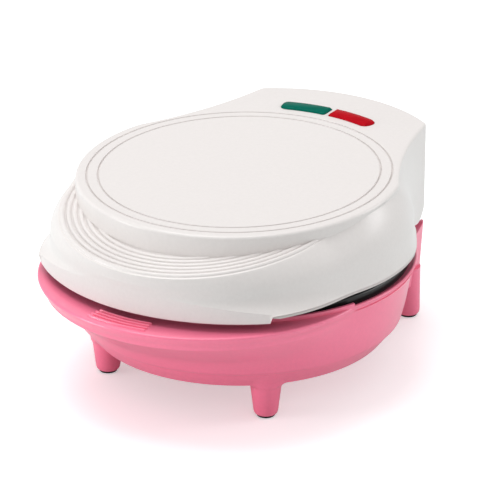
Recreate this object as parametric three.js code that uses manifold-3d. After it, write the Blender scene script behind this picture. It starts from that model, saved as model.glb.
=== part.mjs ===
// A countertop cupcake maker: a pink bowl-shaped base on four legs, a white lid hinged at the rear,
// and a pair of black baking plates that make seven cupcakes.
// Millimetres, +Z up, +X to the right, -Y to the front. Angles about the bowl's axis are in degrees,
// 0 at the front and positive to the right. The pieces are made with the bowl's axis on x = 0, y = 0.

import * as THREE from "three";
import { mergeVertices } from "three/addons/utils/BufferGeometryUtils.js";
import Module from "manifold-3d";

const wasm = await Module();
wasm.setup();

// Driving dimensions

const clearance = 0.3; // gap between pieces that meet
const overrun = 4; // how far a cutting shape reaches past what it cuts
const tolerance = 0.02; // within which near-flat faces are merged

const bowl = {
  radius: 130.5, // outside of the round rim
  rimHeight: 86, // rim above the table
  underside: 28, // underside of the bowl above the table
  wall: 2.5,
  shelfDrop: 2.3, // plate's shelf below the rim
  shelfReach: 11, // from the rim's outside to the shelf's inner edge
  shelfThickness: 2.5,
};

const ledge = {
  centre: 40, // centre of the ledge's circle, in front of the bowl's axis
  inset: 7.8, // ledge's radius below the bowl's
  bandHeight: 11, // upright edge band
  bandDraft: 4.7, // how far the band leans in
  edgeFillet: 1.6,
  collarRise: 2.7, // collar above the rim
  collarAngle: 71, // half angle of the collar
};

const grip = {
  ridges: 4,
  edgeInset: 5.2, // from the ledge's edge to the first ridge
  spacing: 3.93,
  width: 1.5,
  rise: 1.6,
  halfAngle: 11.8, // about the centre of the ledge's circle
};

const leg = {
  frontInset: 31.9, // from the rim to the front legs' axes
  frontAngle: 43.9, // front legs from the front, about the bowl's axis
  rearInsetX: 6.8, // rear legs from the housing's corner
  rearInsetY: 9.3,
  lean: 2, // rear leg's root towards the bowl, each way
  tipRadius: 7.2,
  tipHeight: 1.6, // end of the moulding above the table
  neckRadius: 9,
  neckRise: 4, // neck above the tip
  frontRoot: 13.3, // radius inside the bowl
  rearRoot: 11.3,
  rootRise: 13, // root above the bowl's underside
  wall: 2.4,
};

const housing = {
  cornerX: 72.8, // rear corner at the top
  cornerReach: 13.3, // rear corner behind the rim
  rearReach: 33.5, // middle of the rear wall behind the rim
  height: 47.5, // pillars above the bowl's underside
  draft: 1.9, // corner's shift at the underside, each way
  deckHeight: 24, // low deck above the bowl's underside
  pillarInner: 58, // half distance between the pillars
  reliefHalf: 69.5, // half width of the relief that the open lid's rear wall enters
  reliefHeight: 40.8, // relief's floor above the bowl's underside
  flankAngle: 124, // where the flank leaves the bowl
  wall: 2.5,
};

const lid = {
  wall: 2.6,
  rimRise: 4, // rim above the upper plate's face
  height: 51.15, // top plane above the rim, over the bowl's axis
  topSlope: 0.0379, // rise of the top plane towards the rear
  rimCentre: 40, // centre of the rim's front circle, in front of the bowl's axis
  rimInset: 9, // its radius below the bowl's
  bellyCentre: 26.4, // centre of the wall's front circle
  bellyInset: 10.5, // its radius below the bowl's
  sideInset: 2, // wall's radius at the sides below the bowl's
  topInset: 12.5, // round top's radius below the bowl's
  flareHeight: 13, // height over which the wall flares to the rim
  shoulderHeight: 16.5, // start of the shoulder above the rim
  edgeFillet: 2.2,
  flankRimAngle: 126, // where the block's flank leaves the round, at the rim
  flankTopAngle: 107.5, // and at the top
  cornerX: 73,
  cornerReach: 13.5, // rear corner behind the bowl's rim
  rearReach: 35.6, // middle of the rear wall behind the bowl's rim
  rearLift: 1.5, // rear wall's lower edge above the rim
};

const crescent = {
  centre: 42.4, // centre of the crescent and its ridges, in front of the bowl's axis
  inset: 27, // its radius below the bowl's
  slope: 0.17, // fall towards the front
  drop: 2.35, // its plane below the top plane, over the bowl's axis
  fadeStart: 72, // angles over which its crease runs up to the top's edge
  fadeEnd: 95,
  ridges: 6,
  ridgeInset: 6.5, // from its edge to the first ridge
  ridgeSpacing: 3.8,
  ridgeWidth: 1.5,
  ridgeRise: 0.9,
};

const groove = { outerInset: 20.5, spacing: 8.3, width: 1.2, depth: 0.8 };

const lip = { reach: 16.2, halfAngle: 41.6, drop: 5.5, endWeb: 1.2 };

const plate = {
  sideGap: 3.5, // between the plate and the bowl's wall
  web: 2.2,
  rimHeight: 7.5,
  rimThickness: 3.4,
  rimRound: 2.4,
  meetingGap: 2, // between the two plates
  edgeLand: 17, // from the plate's edge to the outer cups
  land: 7, // between cups
  outerCups: 6,
  cupTaper: 8.5, // cup's radius at the mouth over the floor's
  cupDepth: 32.5,
  domeDepth: 10.5,
  cupWall: 2,
  cupRound: 3, // bevel round a cup's floor
  screws: 3,
  screwInset: 14.5, // plate's screws from its edge
  shieldShare: 0.58, // shield's screws, as a share of the cups' pitch
  bossRadius: 4.6,
};

const element = { tube: 3.3, gapAngle: 14, tail: 9, tailEnd: 22, bend: 9 };

const shield = { margin: 1.4, thickness: 1, rim: 8, gap: 4 };

const screw = { shank: 1.9, head: 3.7, headTop: 3, headHeight: 2.4, bite: 7, slot: 0.9, slotDepth: 1 };

const tab = { width: 13, thickness: 4, length: 13 };

const cover = {
  margin: 1.3, // between the cover's mouth and the front legs
  thickness: 2.4,
  flangeWidth: 10,
  flangeThickness: 2.4,
  screws: 4,
  screwInset: 5,
  slots: 5,
  slotWidth: 3,
  slotLength: 44,
  slotPitch: 12,
};

const foot = { radius: 6.6, stemRadius: 3, stemHeight: 3.2 };

const hinge = {
  axisInset: 2.9, // axis in front of the rim's rearmost point
  axisDrop: 0.5, // axis below the lid's rim
  cheekRadius: 17.5,
  cheekInner: 70,
  earInner: 46.5,
  earOuter: 59.2,
  earRadius: 8.5,
  earStart: -99, // start of an ear's round, from straight behind
  earEnd: 180,
  armReach: 15, // arm's root in front of the axis
  armDepth: 10.5, // arm's underside below the bowl's rim
  bossRadius: 8,
  sidePlay: 0.5, // between an ear and the lid's boss
  pinRadius: 3,
  pinBite: 8.5, // pin's end in the lid's boss
  headRadius: 5,
  head: 2.2,
  cradle: 25.5, // radius of the hollow in the pillars' tops
};

const lamp = {
  inset: 5, // middle of the lenses inside the rim's radius
  width: 13,
  gap: 3.2, // between the two lenses
  reach: 40, // outer end from the middle
  rise: 1.7,
  chamfer: 1.5,
  flange: 1.2,
  bulbRadius: 2.6,
  bulbLength: 13,
  bulbPlace: 20,
  holderDrop: 12.4, // holder's upper face below the lid's top
  holderThickness: 1.6,
  holderWall: 5,
  screwPlace: 50,
  padRadius: 5.5,
};

const gland = { radius: 6.4, flangeRadius: 9, flange: 2.2, bore: 3.4, rise: 13, seat: 0.9 };

const block = {
  length: 34,
  depth: 15,
  height: 13,
  poles: 3,
  pitch: 10,
  hole: 2.2,
  holeDepth: 5,
  place: 10, // behind the bowl's rim
};

const thermostat = { radius: 8.5, height: 8, flangeRadius: 11, flange: 1.2 };

const fuse = { radius: 2.4, length: 24, place: 28 };

const sides = { large: 48, medium: 32, cup: 18, small: 12, bolt: 8, tube: 4, lens: 6 };
const arcSteps = { sector: 12, ridge: 9, front: 12, rear: 3, block: 5, ear: 10, element: 36 };
const degree = Math.PI / 180;
const fullTurn = 360;

// Outlines as shares of the sizes they follow

const bowlShares = [
  [0.766, 0],
  [0.828, 0.07],
  [0.872, 0.14],
  [0.899, 0.215],
  [0.917, 0.3],
  [0.936, 0.46],
  [0.956, 0.73],
  [0.969, 0.88],
  [0.983, 0.945],
  [1, 1],
];
const ledgeShares = [
  [0, 0, 0.975],
  [0.28, 0.36, 0.99],
  [0.62, 0.66, 0.995],
  [1, 1, 1],
];
const flareShares = [0, 0.15, 0.35, 0.6, 1];
const shoulderShares = [0, 0.35, 0.65, 0.86, 1];
const housingShares = [0, 0.22, 0.5, 1];
const topPullShares = [0.221, 0.535];
const rimPullShares = [0.287, 0.724];
const flarePower = 2.2;
const shoulderPower = 1.75;
const filletShare = 0.29; // how far a fillet's middle lies inside its corner

// Colours

const pink = { color: 0xee7f9f, roughness: 0.3, metalness: 0 };
const white = { color: 0xeeeae8, roughness: 0.28, metalness: 0 };
const nonStick = { color: 0x17181a, roughness: 0.4, metalness: 0.2 };
const rubber = { color: 0x1b1b1c, roughness: 0.9, metalness: 0 };
const steel = { color: 0xb9bcc0, roughness: 0.35, metalness: 0.9 };
const sheath = { color: 0x6d6f73, roughness: 0.55, metalness: 0.8 };
const greenLens = { color: 0x0f8a74, roughness: 0.15, metalness: 0 };
const redLens = { color: 0xc4182a, roughness: 0.15, metalness: 0 };
const glass = { color: 0xe9dccb, roughness: 0.1, metalness: 0 };
const ceramic = { color: 0xe6e1d6, roughness: 0.6, metalness: 0 };
const sleeve = { color: 0xd8d5cc, roughness: 0.8, metalness: 0 };

// Places worked out from the driving dimensions

const shelfTop = bowl.rimHeight - bowl.shelfDrop;
const shelfBottom = shelfTop - bowl.shelfThickness;
const lowerBottom = shelfTop + clearance;
const lowerTop = lowerBottom + plate.rimHeight;
const upperBottom = lowerTop + plate.meetingGap;
const upperTop = upperBottom + plate.rimHeight;
const plateRadius = bowl.radius - bowl.wall - plate.sideGap;
const cupPitch = ((plateRadius - plate.edgeLand + plate.land / 2) * 2) / 3;
const cupRadius = (cupPitch - plate.land) / 2;
const plateScrewPitch = plateRadius - plate.screwInset;
const shieldScrewPitch = cupPitch * plate.shieldShare;
const shieldRadius = plateScrewPitch - plate.bossRadius - shield.margin;
const lowerElementTop = lowerTop - plate.cupDepth - plate.cupWall - clearance;
const lowerShieldTop = lowerElementTop - element.tube * 2 - shield.gap;
const upperElementBottom = upperBottom + plate.domeDepth + plate.cupWall + clearance;
const upperShieldBottom = upperElementBottom + element.tube * 2 + shield.gap;
const lidRim = upperBottom + lid.rimRise;
const lidTop = lidRim + lid.height;
const topRadius = bowl.radius - lid.topInset;
const ledgeRadius = bowl.radius - ledge.inset;
const crescentRadius = bowl.radius - crescent.inset;
const lipRadius = bowl.radius + lip.reach;
const lipBottom = lidRim - lip.drop;
const axisY = bowl.radius - hinge.axisInset;
const axisZ = lidRim - hinge.axisDrop;
const bossInner = hinge.earOuter + hinge.sidePlay;
const pillarTop = bowl.underside + housing.height;
const deckTop = bowl.underside + housing.deckHeight;
const reliefFloor = bowl.underside + housing.reliefHeight;
const frontLegPitch = bowl.radius - leg.frontInset;
const coverRadius = frontLegPitch - leg.frontRoot - cover.margin;
const flangeBottom = bowl.underside + cover.thickness + clearance;
const flangeTop = flangeBottom + cover.flangeThickness;

// Solids and geometries

// A solid made from a closed geometry, for joining and cutting.
function solidOf(geometry) {
  const bare = geometry.clone();
  bare.deleteAttribute("normal");
  bare.deleteAttribute("uv");
  const merged = mergeVertices(bare);
  const mesh = new wasm.Mesh({
    numProp: 3,
    vertProperties: merged.attributes.position.array,
    triVerts: new Uint32Array(merged.index.array),
  });
  return new wasm.Manifold(mesh);
}

// A geometry made from a solid.
function geometryOf(solid) {
  const mesh = solid.getMesh();
  const geometry = new THREE.BufferGeometry();
  geometry.setAttribute("position", new THREE.BufferAttribute(mesh.vertProperties.slice(), 3));
  geometry.setIndex(new THREE.BufferAttribute(mesh.triVerts.slice(), 1));
  geometry.computeVertexNormals();
  return geometry;
}

// Several solids as one.
function joined(...solids) {
  return solids.flat().reduce((whole, piece) => whole.add(piece));
}

// A solid less several others.
function cut(solid, ...tools) {
  return solid.subtract(joined(...tools));
}

// The largest of a solid's bodies, without the slivers that a cut along a surface leaves.
function mainBody(solid) {
  const bodies = solid.simplify(tolerance).decompose();
  return bodies.reduce((most, piece) => (piece.volume() > most.volume() ? piece : most));
}

// A turned solid about the Z axis. The profile is a list of [radius, height], anticlockwise.
function turned(profile, count) {
  const points = profile.map(([radius, height]) => new THREE.Vector2(radius, height));
  if (profile[0][0] > 0) points.push(points[0].clone());
  const geometry = new THREE.LatheGeometry(points, count);
  geometry.rotateX(Math.PI / 2);
  return solidOf(geometry);
}

// An upright round bar from one height to another, that may taper.
function bar(radius, bottom, top, topRadius = radius, count = sides.small) {
  return turned([[0, bottom], [radius, bottom], [topRadius, top], [0, top]], count);
}

// A ring with upright walls.
function ring(inner, outer, bottom, top) {
  return turned([[inner, bottom], [outer, bottom], [outer, top], [inner, top]], sides.large);
}

// A round bar that lies along X.
function crossBar(radius, from, to, y, z, count = sides.small) {
  const geometry = new THREE.CylinderGeometry(radius, radius, to - from, count);
  geometry.rotateZ(Math.PI / 2);
  geometry.translate((from + to) / 2, y, z);
  return solidOf(geometry);
}

// A box between two corners.
function box(low, high) {
  const geometry = new THREE.BoxGeometry(...high.map((value, axis) => value - low[axis]));
  geometry.translate(...high.map((value, axis) => (value + low[axis]) / 2));
  return solidOf(geometry);
}

// A closed skin over rings that hold equally many points, capped at both ends.
function skin(rings) {
  const count = rings[0].length;
  const indices = [];
  for (let row = 0; row + 1 < rings.length; row++) {
    for (let i = 0; i < count; i++) {
      const a = row * count + i;
      const b = row * count + ((i + 1) % count);
      indices.push(a, b, b + count, a, b + count, a + count);
    }
  }
  const capOf = (points) => {
    const flat = points.map(([x, y]) => new THREE.Vector2(x, y));
    return THREE.ShapeUtils.triangulateShape(flat, []);
  };
  const last = (rings.length - 1) * count;
  capOf(rings[0]).forEach(([a, b, c]) => indices.push(a, c, b));
  capOf(rings[rings.length - 1]).forEach(([a, b, c]) => indices.push(last + a, last + b, last + c));
  const geometry = new THREE.BufferGeometry();
  geometry.setAttribute("position", new THREE.Float32BufferAttribute(rings.flat(2), 3));
  geometry.setIndex(indices);
  return solidOf(geometry);
}

// A round bar along a path of points.
function tube(points, radius, steps) {
  const section = new THREE.Shape();
  section.absarc(0, 0, radius, 0, 2 * Math.PI);
  const path = new THREE.CatmullRomCurve3(points.map((point) => new THREE.Vector3(...point)));
  return new THREE.ExtrudeGeometry(section, { extrudePath: path, steps, curveSegments: sides.tube });
}

// Outlines

// The point at an angle from the front and a distance from the bowl's axis.
function polar(angle, radius) {
  return [radius * Math.sin(angle * degree), -radius * Math.cos(angle * degree)];
}

// Distance from the bowl's axis to a circle whose centre lies in front of it.
function offCentre(angle, centre, radius) {
  const across = centre * Math.sin(angle * degree);
  return centre * Math.cos(angle * degree) + Math.sqrt(radius * radius - across * across);
}

// A circle of points round a centre on the Y axis.
function circle(radius, centreY, count) {
  return Array.from({ length: count }, (_, i) => {
    const [x, y] = polar((fullTurn * i) / count, radius);
    return [x, y + centreY];
  });
}

// An outline at one height.
function level(points, height) {
  return points.map(([x, y]) => [x, y, height]);
}

// Height of the lid's top plane.
function topAt(y) {
  return lidTop + lid.topSlope * y;
}

// An outline at a distance below the lid's top plane.
function underTop(points, drop) {
  return points.map(([x, y]) => [x, y, topAt(y) - drop]);
}

// A block with an upright wall, between two distances below the lid's top plane.
function topBlock(points, low, high) {
  return skin([underTop(points, low), underTop(points, high)]);
}

// An arc's band round a centre on the Y axis, as an anticlockwise outline.
function arcBand(centreY, inner, outer, from, to, steps) {
  const arc = (radius) => Array.from({ length: steps + 1 }, (_, i) => {
    const [x, y] = polar(from + ((to - from) * i) / steps, radius);
    return [x, y + centreY];
  });
  return [...arc(outer), ...arc(inner).reverse()];
}

// A sector of a round from the bowl's axis, as an upright block.
function sector(halfAngle, radius, bottom, top) {
  const points = [[0, 0]];
  for (let i = 0; i <= arcSteps.sector; i++) {
    points.push(polar(halfAngle * ((2 * i) / arcSteps.sector - 1), radius));
  }
  return skin([level(points, bottom), level(points, top)]);
}

// Every point of an anticlockwise outline moved inwards.
function inset(points, distance) {
  const count = points.length;
  return points.map((point, i) => {
    const before = points[(i + count - 1) % count];
    const after = points[(i + 1) % count];
    const along = [after[0] - before[0], after[1] - before[1]];
    const length = Math.hypot(...along);
    const x = point[0] - (along[1] / length) * distance;
    const y = point[1] + (along[0] / length) * distance;
    return [x, y, ...point.slice(2)];
  });
}

// The rear of a block from its flank's start to the middle: bent flank, corner and bowed rear edge.
// The flank is pulled towards a point, given as shares of the way from the corner to the start.
function rearQuarter(start, corner, rearY, pullShares) {
  const steps = arcSteps.block;
  const pull = [0, 1].map((axis) => corner[axis] + (start[axis] - corner[axis]) * pullShares[axis]);
  const points = [];
  for (let i = 1; i <= steps; i++) {
    const share = i / steps;
    const weights = [(1 - share) ** 2, 2 * share * (1 - share), share ** 2];
    const at = (axis) => weights[0] * start[axis] + weights[1] * pull[axis] + weights[2] * corner[axis];
    points.push([at(0), at(1)]);
  }
  const bow = rearY - corner[1];
  const radius = (corner[0] ** 2 + bow ** 2) / (2 * bow);
  for (let i = 1; i <= steps; i++) {
    const x = corner[0] * (1 - i / steps);
    points.push([x, rearY - radius + Math.sqrt(radius ** 2 - x ** 2)]);
  }
  return points;
}

// A right half outline and its mirror image as one outline, anticlockwise from the front.
function mirrored(half) {
  const left = half.slice(1, -1).reverse().map(([x, ...rest]) => [-x, ...rest]);
  return [...half, ...left];
}

// Places that repeat round the bowl's axis.
function around(count, radius, firstAngle) {
  return Array.from({ length: count }, (_, i) => polar(firstAngle + (fullTurn * i) / count, radius));
}

const cupAngle = fullTurn / plate.outerCups;
const cupPlaces = [[0, 0], ...around(plate.outerCups, cupPitch, 0)];
const plateScrewPlaces = around(plate.screws, plateScrewPitch, cupAngle / 2);
const shieldScrewPlaces = around(plate.screws, shieldScrewPitch, cupAngle / 2);
const coverScrewAngle = fullTurn / cover.screws / 2;
const coverScrewPlaces = around(cover.screws, coverRadius - cover.screwInset, coverScrewAngle);

// Copies of a solid at several places on the level.
function copies(solid, places) {
  return places.map(([x, y]) => solid.translate([x, y, 0]));
}

// Base shell

// The bowl's outside radius at a height.
function bowlRadiusAt(height) {
  const share = (height - bowl.underside) / (bowl.rimHeight - bowl.underside);
  if (share >= 1) return bowl.radius;
  const next = Math.max(1, bowlShares.findIndex((pair) => pair[1] >= share));
  const [lowRadius, lowShare] = bowlShares[next - 1];
  const [highRadius, highShare] = bowlShares[next];
  const mix = (share - lowShare) / (highShare - lowShare);
  return bowl.radius * (lowRadius + (highRadius - lowRadius) * mix);
}

// The bowl moved inwards by a distance and carried straight up to a height.
function bowlSolid(distance, top) {
  const rise = bowl.rimHeight - bowl.underside;
  const wall = bowlShares.map(([radiusShare, heightShare]) => [
    bowl.radius * radiusShare - distance,
    bowl.underside + rise * heightShare + distance * (1 - heightShare),
  ]);
  const rim = top > bowl.rimHeight ? [[bowl.radius - distance, top]] : [];
  return turned([[0, wall[0][1]], ...wall, ...rim, [0, top]], sides.large);
}

// The ledge's bulk moved inwards by a distance. It fills the bowl behind it.
function ledgeSolid(distance) {
  const top = bowl.rimHeight - distance;
  const bandFoot = bowl.rimHeight - ledge.bandHeight;
  const bandRadius = ledgeRadius - ledge.bandDraft;
  const footHeight = bowl.underside + leg.rootRise;
  const rings = ledgeShares.map(([centreShare, heightShare, radiusShare]) => {
    const points = circle(bandRadius * radiusShare - distance, -ledge.centre * centreShare, sides.medium);
    return level(points, footHeight + (bandFoot - footHeight) * heightShare + distance / 2);
  });
  const edge = (shift, height) => level(circle(ledgeRadius - shift, -ledge.centre, sides.medium), height);
  return skin([...rings, edge(distance, top - ledge.edgeFillet), edge(distance + ledge.edgeFillet, top)]);
}

// The housing behind the bowl moved inwards by a distance: two pillars and a low deck between them.
function housingSolid(distance) {
  const middle = bowl.radius / 2;
  const outline = (share) => {
    const height = bowl.underside + housing.height * share;
    const shift = housing.draft * (1 - share);
    const start = polar(housing.flankAngle, bowlRadiusAt(height) - clearance);
    const corner = [housing.cornerX - shift, bowl.radius + housing.cornerReach - shift];
    const rear = rearQuarter(start, corner, bowl.radius + housing.rearReach - shift, rimPullShares);
    const points = inset(mirrored([[0, middle], [start[0] / 2, middle], start, ...rear]), distance);
    return level(points, height + distance * (1 - 2 * share));
  };
  const inner = housing.pillarInner + distance;
  const reach = bowl.radius + housing.rearReach + overrun;
  const well = box([-inner, 0, deckTop - distance], [inner, reach, pillarTop + overrun]);
  const side = housing.reliefHalf + distance;
  const relief = box([-side, axisY - distance, reliefFloor - distance], [side, reach, pillarTop + overrun]);
  const width = housing.cornerX + overrun;
  const cradle = crossBar(hinge.cradle + distance, -width, width, axisY, axisZ, sides.medium);
  return cut(skin(housingShares.map(outline)), well, relief, cradle);
}

const rearLegX = housing.cornerX - leg.rearInsetX;
const rearLegY = bowl.radius + housing.cornerReach - leg.rearInsetY;
const legPlaces = [-1, 1].flatMap((side) => {
  const [x, y] = polar(side * leg.frontAngle, frontLegPitch);
  return [
    { x, y, leanX: 0, leanY: 0, root: leg.frontRoot },
    { x: side * rearLegX, y: rearLegY, leanX: side * leg.lean, leanY: leg.lean, root: leg.rearRoot },
  ];
});

// One leg moved inwards by a distance, from its tip to its root inside the bowl.
function legSolid({ x, y, leanX, leanY, root }, distance) {
  const stage = (radius, height, lean) => {
    const points = circle(radius - distance, 0, sides.cup);
    return points.map(([px, py]) => [px + x - leanX * lean, py + y - leanY * lean, height]);
  };
  return skin([
    stage(leg.tipRadius, leg.tipHeight + distance, 0),
    stage(leg.neckRadius, leg.tipHeight + leg.neckRise + distance / 2, 0),
    stage(root, bowl.underside + leg.rootRise, 1),
  ]);
}

// A hinge ear on the right side: a round eye on an arm that grows from the bowl's rim.
function earSolid() {
  const arm = new THREE.Shape();
  const steps = arcSteps.ear;
  for (let i = 0; i <= steps; i++) {
    const angle = hinge.earStart + ((hinge.earEnd - hinge.earStart) * i) / steps;
    const [across, rise] = polar(angle + fullTurn / 4, hinge.earRadius);
    const place = [axisY + across, axisZ + rise];
    if (i === 0) arm.moveTo(...place);
    else arm.lineTo(...place);
  }
  const root = axisY - hinge.armReach;
  arm.lineTo(root, bowl.rimHeight);
  arm.lineTo(root, bowl.rimHeight - hinge.armDepth);
  arm.lineTo(axisY - hinge.earRadius, bowl.rimHeight - hinge.armDepth);
  const depth = hinge.earOuter - hinge.earInner;
  const geometry = new THREE.ExtrudeGeometry(arm, { depth, bevelEnabled: false });
  geometry.rotateX(Math.PI / 2);
  geometry.rotateZ(Math.PI / 2);
  geometry.translate(hinge.earInner, 0, 0);
  return solidOf(geometry);
}

// A solid and its mirror image on the other side.
function bothSides(solid) {
  return [solid, solid.mirror([1, 0, 0])];
}

// The grip's ridges on the front of the ledge.
function gripRidges() {
  return Array.from({ length: grip.ridges }, (_, i) => {
    const radius = ledgeRadius - grip.edgeInset - grip.spacing * i;
    const band = (width) => arcBand(
      -ledge.centre,
      radius - width / 2,
      radius + width / 2,
      -grip.halfAngle,
      grip.halfAngle,
      arcSteps.ridge,
    );
    return skin([
      level(band(grip.width), bowl.rimHeight - bowl.wall / 2),
      level(band(grip.width), bowl.rimHeight + grip.rise / 2),
      level(band(grip.width / 2), bowl.rimHeight + grip.rise),
    ]);
  });
}

// The tabs under the shelf that take the lower plate's screws.
function plateTabs() {
  const start = plateScrewPitch - tab.length / 2;
  const end = bowl.radius - bowl.shelfReach + bowl.wall;
  const piece = box([-tab.width / 2, -end, shelfTop - tab.thickness], [tab.width / 2, -start, shelfTop]);
  return plateScrewPlaces.map((_, i) => piece.rotate([0, 0, cupAngle / 2 + (fullTurn * i) / plate.screws]));
}

const glandY = bowl.radius + housing.rearReach - housing.draft * (1 - gland.rise / housing.height);
const glandZ = bowl.underside + gland.rise;

// A turned solid laid along Y with its foot at the gland's seat.
function onRearWall(solid, y) {
  return solid.rotate([-90, 0, 0]).translate([0, y, glandZ]);
}

// The base's moulding: bowl, ledge, collar, housing, legs, ears and what carries the inner pieces.
function baseShell() {
  const rim = bowl.rimHeight;
  const outside = joined(
    bowlSolid(0, rim),
    ledgeSolid(0),
    housingSolid(0),
    legPlaces.map((place) => legSolid(place, 0)),
    bothSides(earSolid()),
  );
  const hollow = joined(
    bowlSolid(bowl.wall, axisZ + hinge.earRadius * 2),
    ledgeSolid(bowl.wall),
    housingSolid(housing.wall),
    legPlaces.map((place) => legSolid(place, leg.wall)),
  );
  const mouthRadius = coverRadius + clearance;
  const mouth = bar(mouthRadius, bowl.underside - overrun, flangeBottom, undefined, sides.medium);
  const collar = ring(bowl.radius - bowl.wall, bowl.radius, shelfBottom, rim + ledge.collarRise);
  const collarSector = sector(ledge.collarAngle, bowl.radius + overrun, shelfBottom, rim + ledge.collarRise);
  const mouthWall = mouthRadius + bowl.wall;
  const flange = turned(
    [
      [coverRadius - cover.flangeWidth, flangeBottom],
      [mouthRadius, flangeBottom],
      [mouthRadius, bowl.underside],
      [mouthWall, bowl.underside],
      [mouthWall, flangeTop],
      [coverRadius - cover.flangeWidth, flangeTop],
    ],
    sides.medium,
  );
  const fitted = joined(
    cut(outside, hollow, mouth),
    ring(bowl.radius - bowl.shelfReach, bowl.radius - bowl.wall * 2, shelfBottom, shelfTop),
    collar.intersect(collarSector),
    flange,
    gripRidges(),
    plateTabs(),
    copies(bar(plate.bossRadius, flangeBottom, flangeTop + screw.bite), coverScrewPlaces),
  );
  const hole = screw.shank + clearance;
  const stemHole = bar(foot.stemRadius + clearance, 0, leg.tipHeight + leg.wall + overrun);
  const pinEnds = [hinge.earInner - overrun, hinge.earOuter + overrun];
  const pinHole = crossBar(hinge.pinRadius + clearance, ...pinEnds, axisY, axisZ);
  return mainBody(cut(
    fitted,
    copies(bar(hole, shelfBottom - overrun, shelfTop + overrun), plateScrewPlaces),
    copies(bar(hole, flangeBottom - overrun, flangeTop + screw.bite / 2), coverScrewPlaces),
    copies(stemHole, legPlaces.map(({ x, y }) => [x, y])),
    bothSides(pinHole),
    onRearWall(bar(gland.radius + clearance, -overrun * 2, overrun), glandY),
    onRearWall(bar(gland.flangeRadius + clearance, 0, overrun), glandY - gland.seat),
  ));
}

// Lid shell

// The lid's radii at an angle: at the rim, at the middle of the wall and at the shoulder's upper edge.
function lidRadii(angle) {
  const rim = offCentre(angle, lid.rimCentre, bowl.radius - lid.rimInset);
  const middle = offCentre(angle, lid.bellyCentre, bowl.radius - lid.bellyInset);
  const edge = offCentre(angle, crescent.centre, crescentRadius);
  return [
    Math.max(rim, bowl.radius),
    Math.max(middle, bowl.radius - lid.sideInset),
    Math.max(edge, topRadius),
  ];
}

// Height of the shoulder's upper edge. It follows the crescent and runs up to the top's edge behind it.
function shoulderTop(angle, y) {
  const low = lidTop - crescent.drop + crescent.slope * y;
  const high = topAt(y) - lid.edgeFillet - lid.edgeFillet / 2;
  const share = (angle - crescent.fadeStart) / (crescent.fadeEnd - crescent.fadeStart);
  const mix = Math.min(1, Math.max(0, share));
  const smooth = mix * mix * (3 - 2 * mix);
  return low + (high - low) * smooth;
}

const skirtBottom = axisZ - hinge.cheekRadius - overrun;
const lidStages = [
  { part: "skirt", share: 0 },
  ...flareShares.map((share) => ({ part: "flare", share })),
  ...shoulderShares.map((share) => ({ part: "shoulder", share })),
  { part: "edge", share: 1 },
];

// The lid's height at one stage of its wall.
function stageHeight({ part, share }, angle, y) {
  const foot = lidRim + lid.shoulderHeight;
  if (part === "skirt") return skirtBottom;
  if (part === "flare") return lidRim + lid.flareHeight * share;
  if (part === "shoulder") return foot + (shoulderTop(angle, y) - foot) * share;
  return topAt(y) - lid.edgeFillet;
}

// The lid's radius at one stage of its wall.
function stageRadius({ part, share }, angle) {
  const [rim, middle, edge] = lidRadii(angle);
  if (part === "skirt") return rim;
  if (part === "flare") return middle + (rim - middle) * (1 - share) ** flarePower;
  if (part === "shoulder") return middle - (middle - edge) * share ** shoulderPower;
  return edge;
}

// How far up the lid a stage lies, from the rim to the top, as a share.
function stageShare({ part, share }) {
  const foot = lid.shoulderHeight / lid.height;
  if (part === "skirt") return 0;
  if (part === "flare") return (share * lid.flareHeight) / lid.height;
  if (part === "shoulder") return foot + (1 - foot) * share;
  return 1;
}

// The lid's outline at one stage, moved inwards by a distance.
function lidRing(stage, distance) {
  const share = stageShare(stage);
  const startAngle = lid.flankRimAngle + (lid.flankTopAngle - lid.flankRimAngle) * share;
  const frontSteps = arcSteps.front;
  const rearSteps = arcSteps.rear;
  const half = [];
  for (let i = 0; i <= frontSteps + rearSteps; i++) {
    const past = Math.max(0, i - frontSteps) / rearSteps;
    const upToSide = Math.min(i, frontSteps) / frontSteps;
    const angle = (fullTurn / 4) * upToSide + (startAngle - fullTurn / 4) * past;
    const [x, y] = polar(angle, stageRadius(stage, angle));
    const edgeY = polar(angle, lidRadii(angle)[2])[1];
    half.push([x, y, stageHeight(stage, angle, edgeY)]);
  }
  const pullShares = rimPullShares.map((low, axis) => low + (topPullShares[axis] - low) * share);
  const corner = [lid.cornerX, bowl.radius + lid.cornerReach];
  const start = half[half.length - 1];
  const rear = rearQuarter(start, corner, bowl.radius + lid.rearReach, pullShares);
  const block = rear.map(([x, y]) => [x, y, stageHeight(stage, startAngle, y)]);
  const fall = stage.part === "shoulder" || stage.part === "edge" ? distance * stage.share : 0;
  return inset(mirrored([...half, ...block]), distance).map(([x, y, z]) => [x, y, z - fall]);
}

// The lid's bulk moved inwards by a distance, with a filleted top edge and a skirt below its rim.
function lidSolid(distance) {
  const rings = lidStages.map((stage) => lidRing(stage, distance));
  const edge = rings[rings.length - 1];
  const bottom = rings[0].map(([x, y, z]) => [x, y, z - distance]);
  return skin([
    bottom,
    ...rings.slice(1),
    underTop(inset(edge, lid.edgeFillet * filletShare), distance + lid.edgeFillet * filletShare),
    underTop(inset(edge, lid.edgeFillet), distance),
  ]);
}

const crescentFoot = topRadius + clearance; // foot of the round wall behind the crescent

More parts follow.
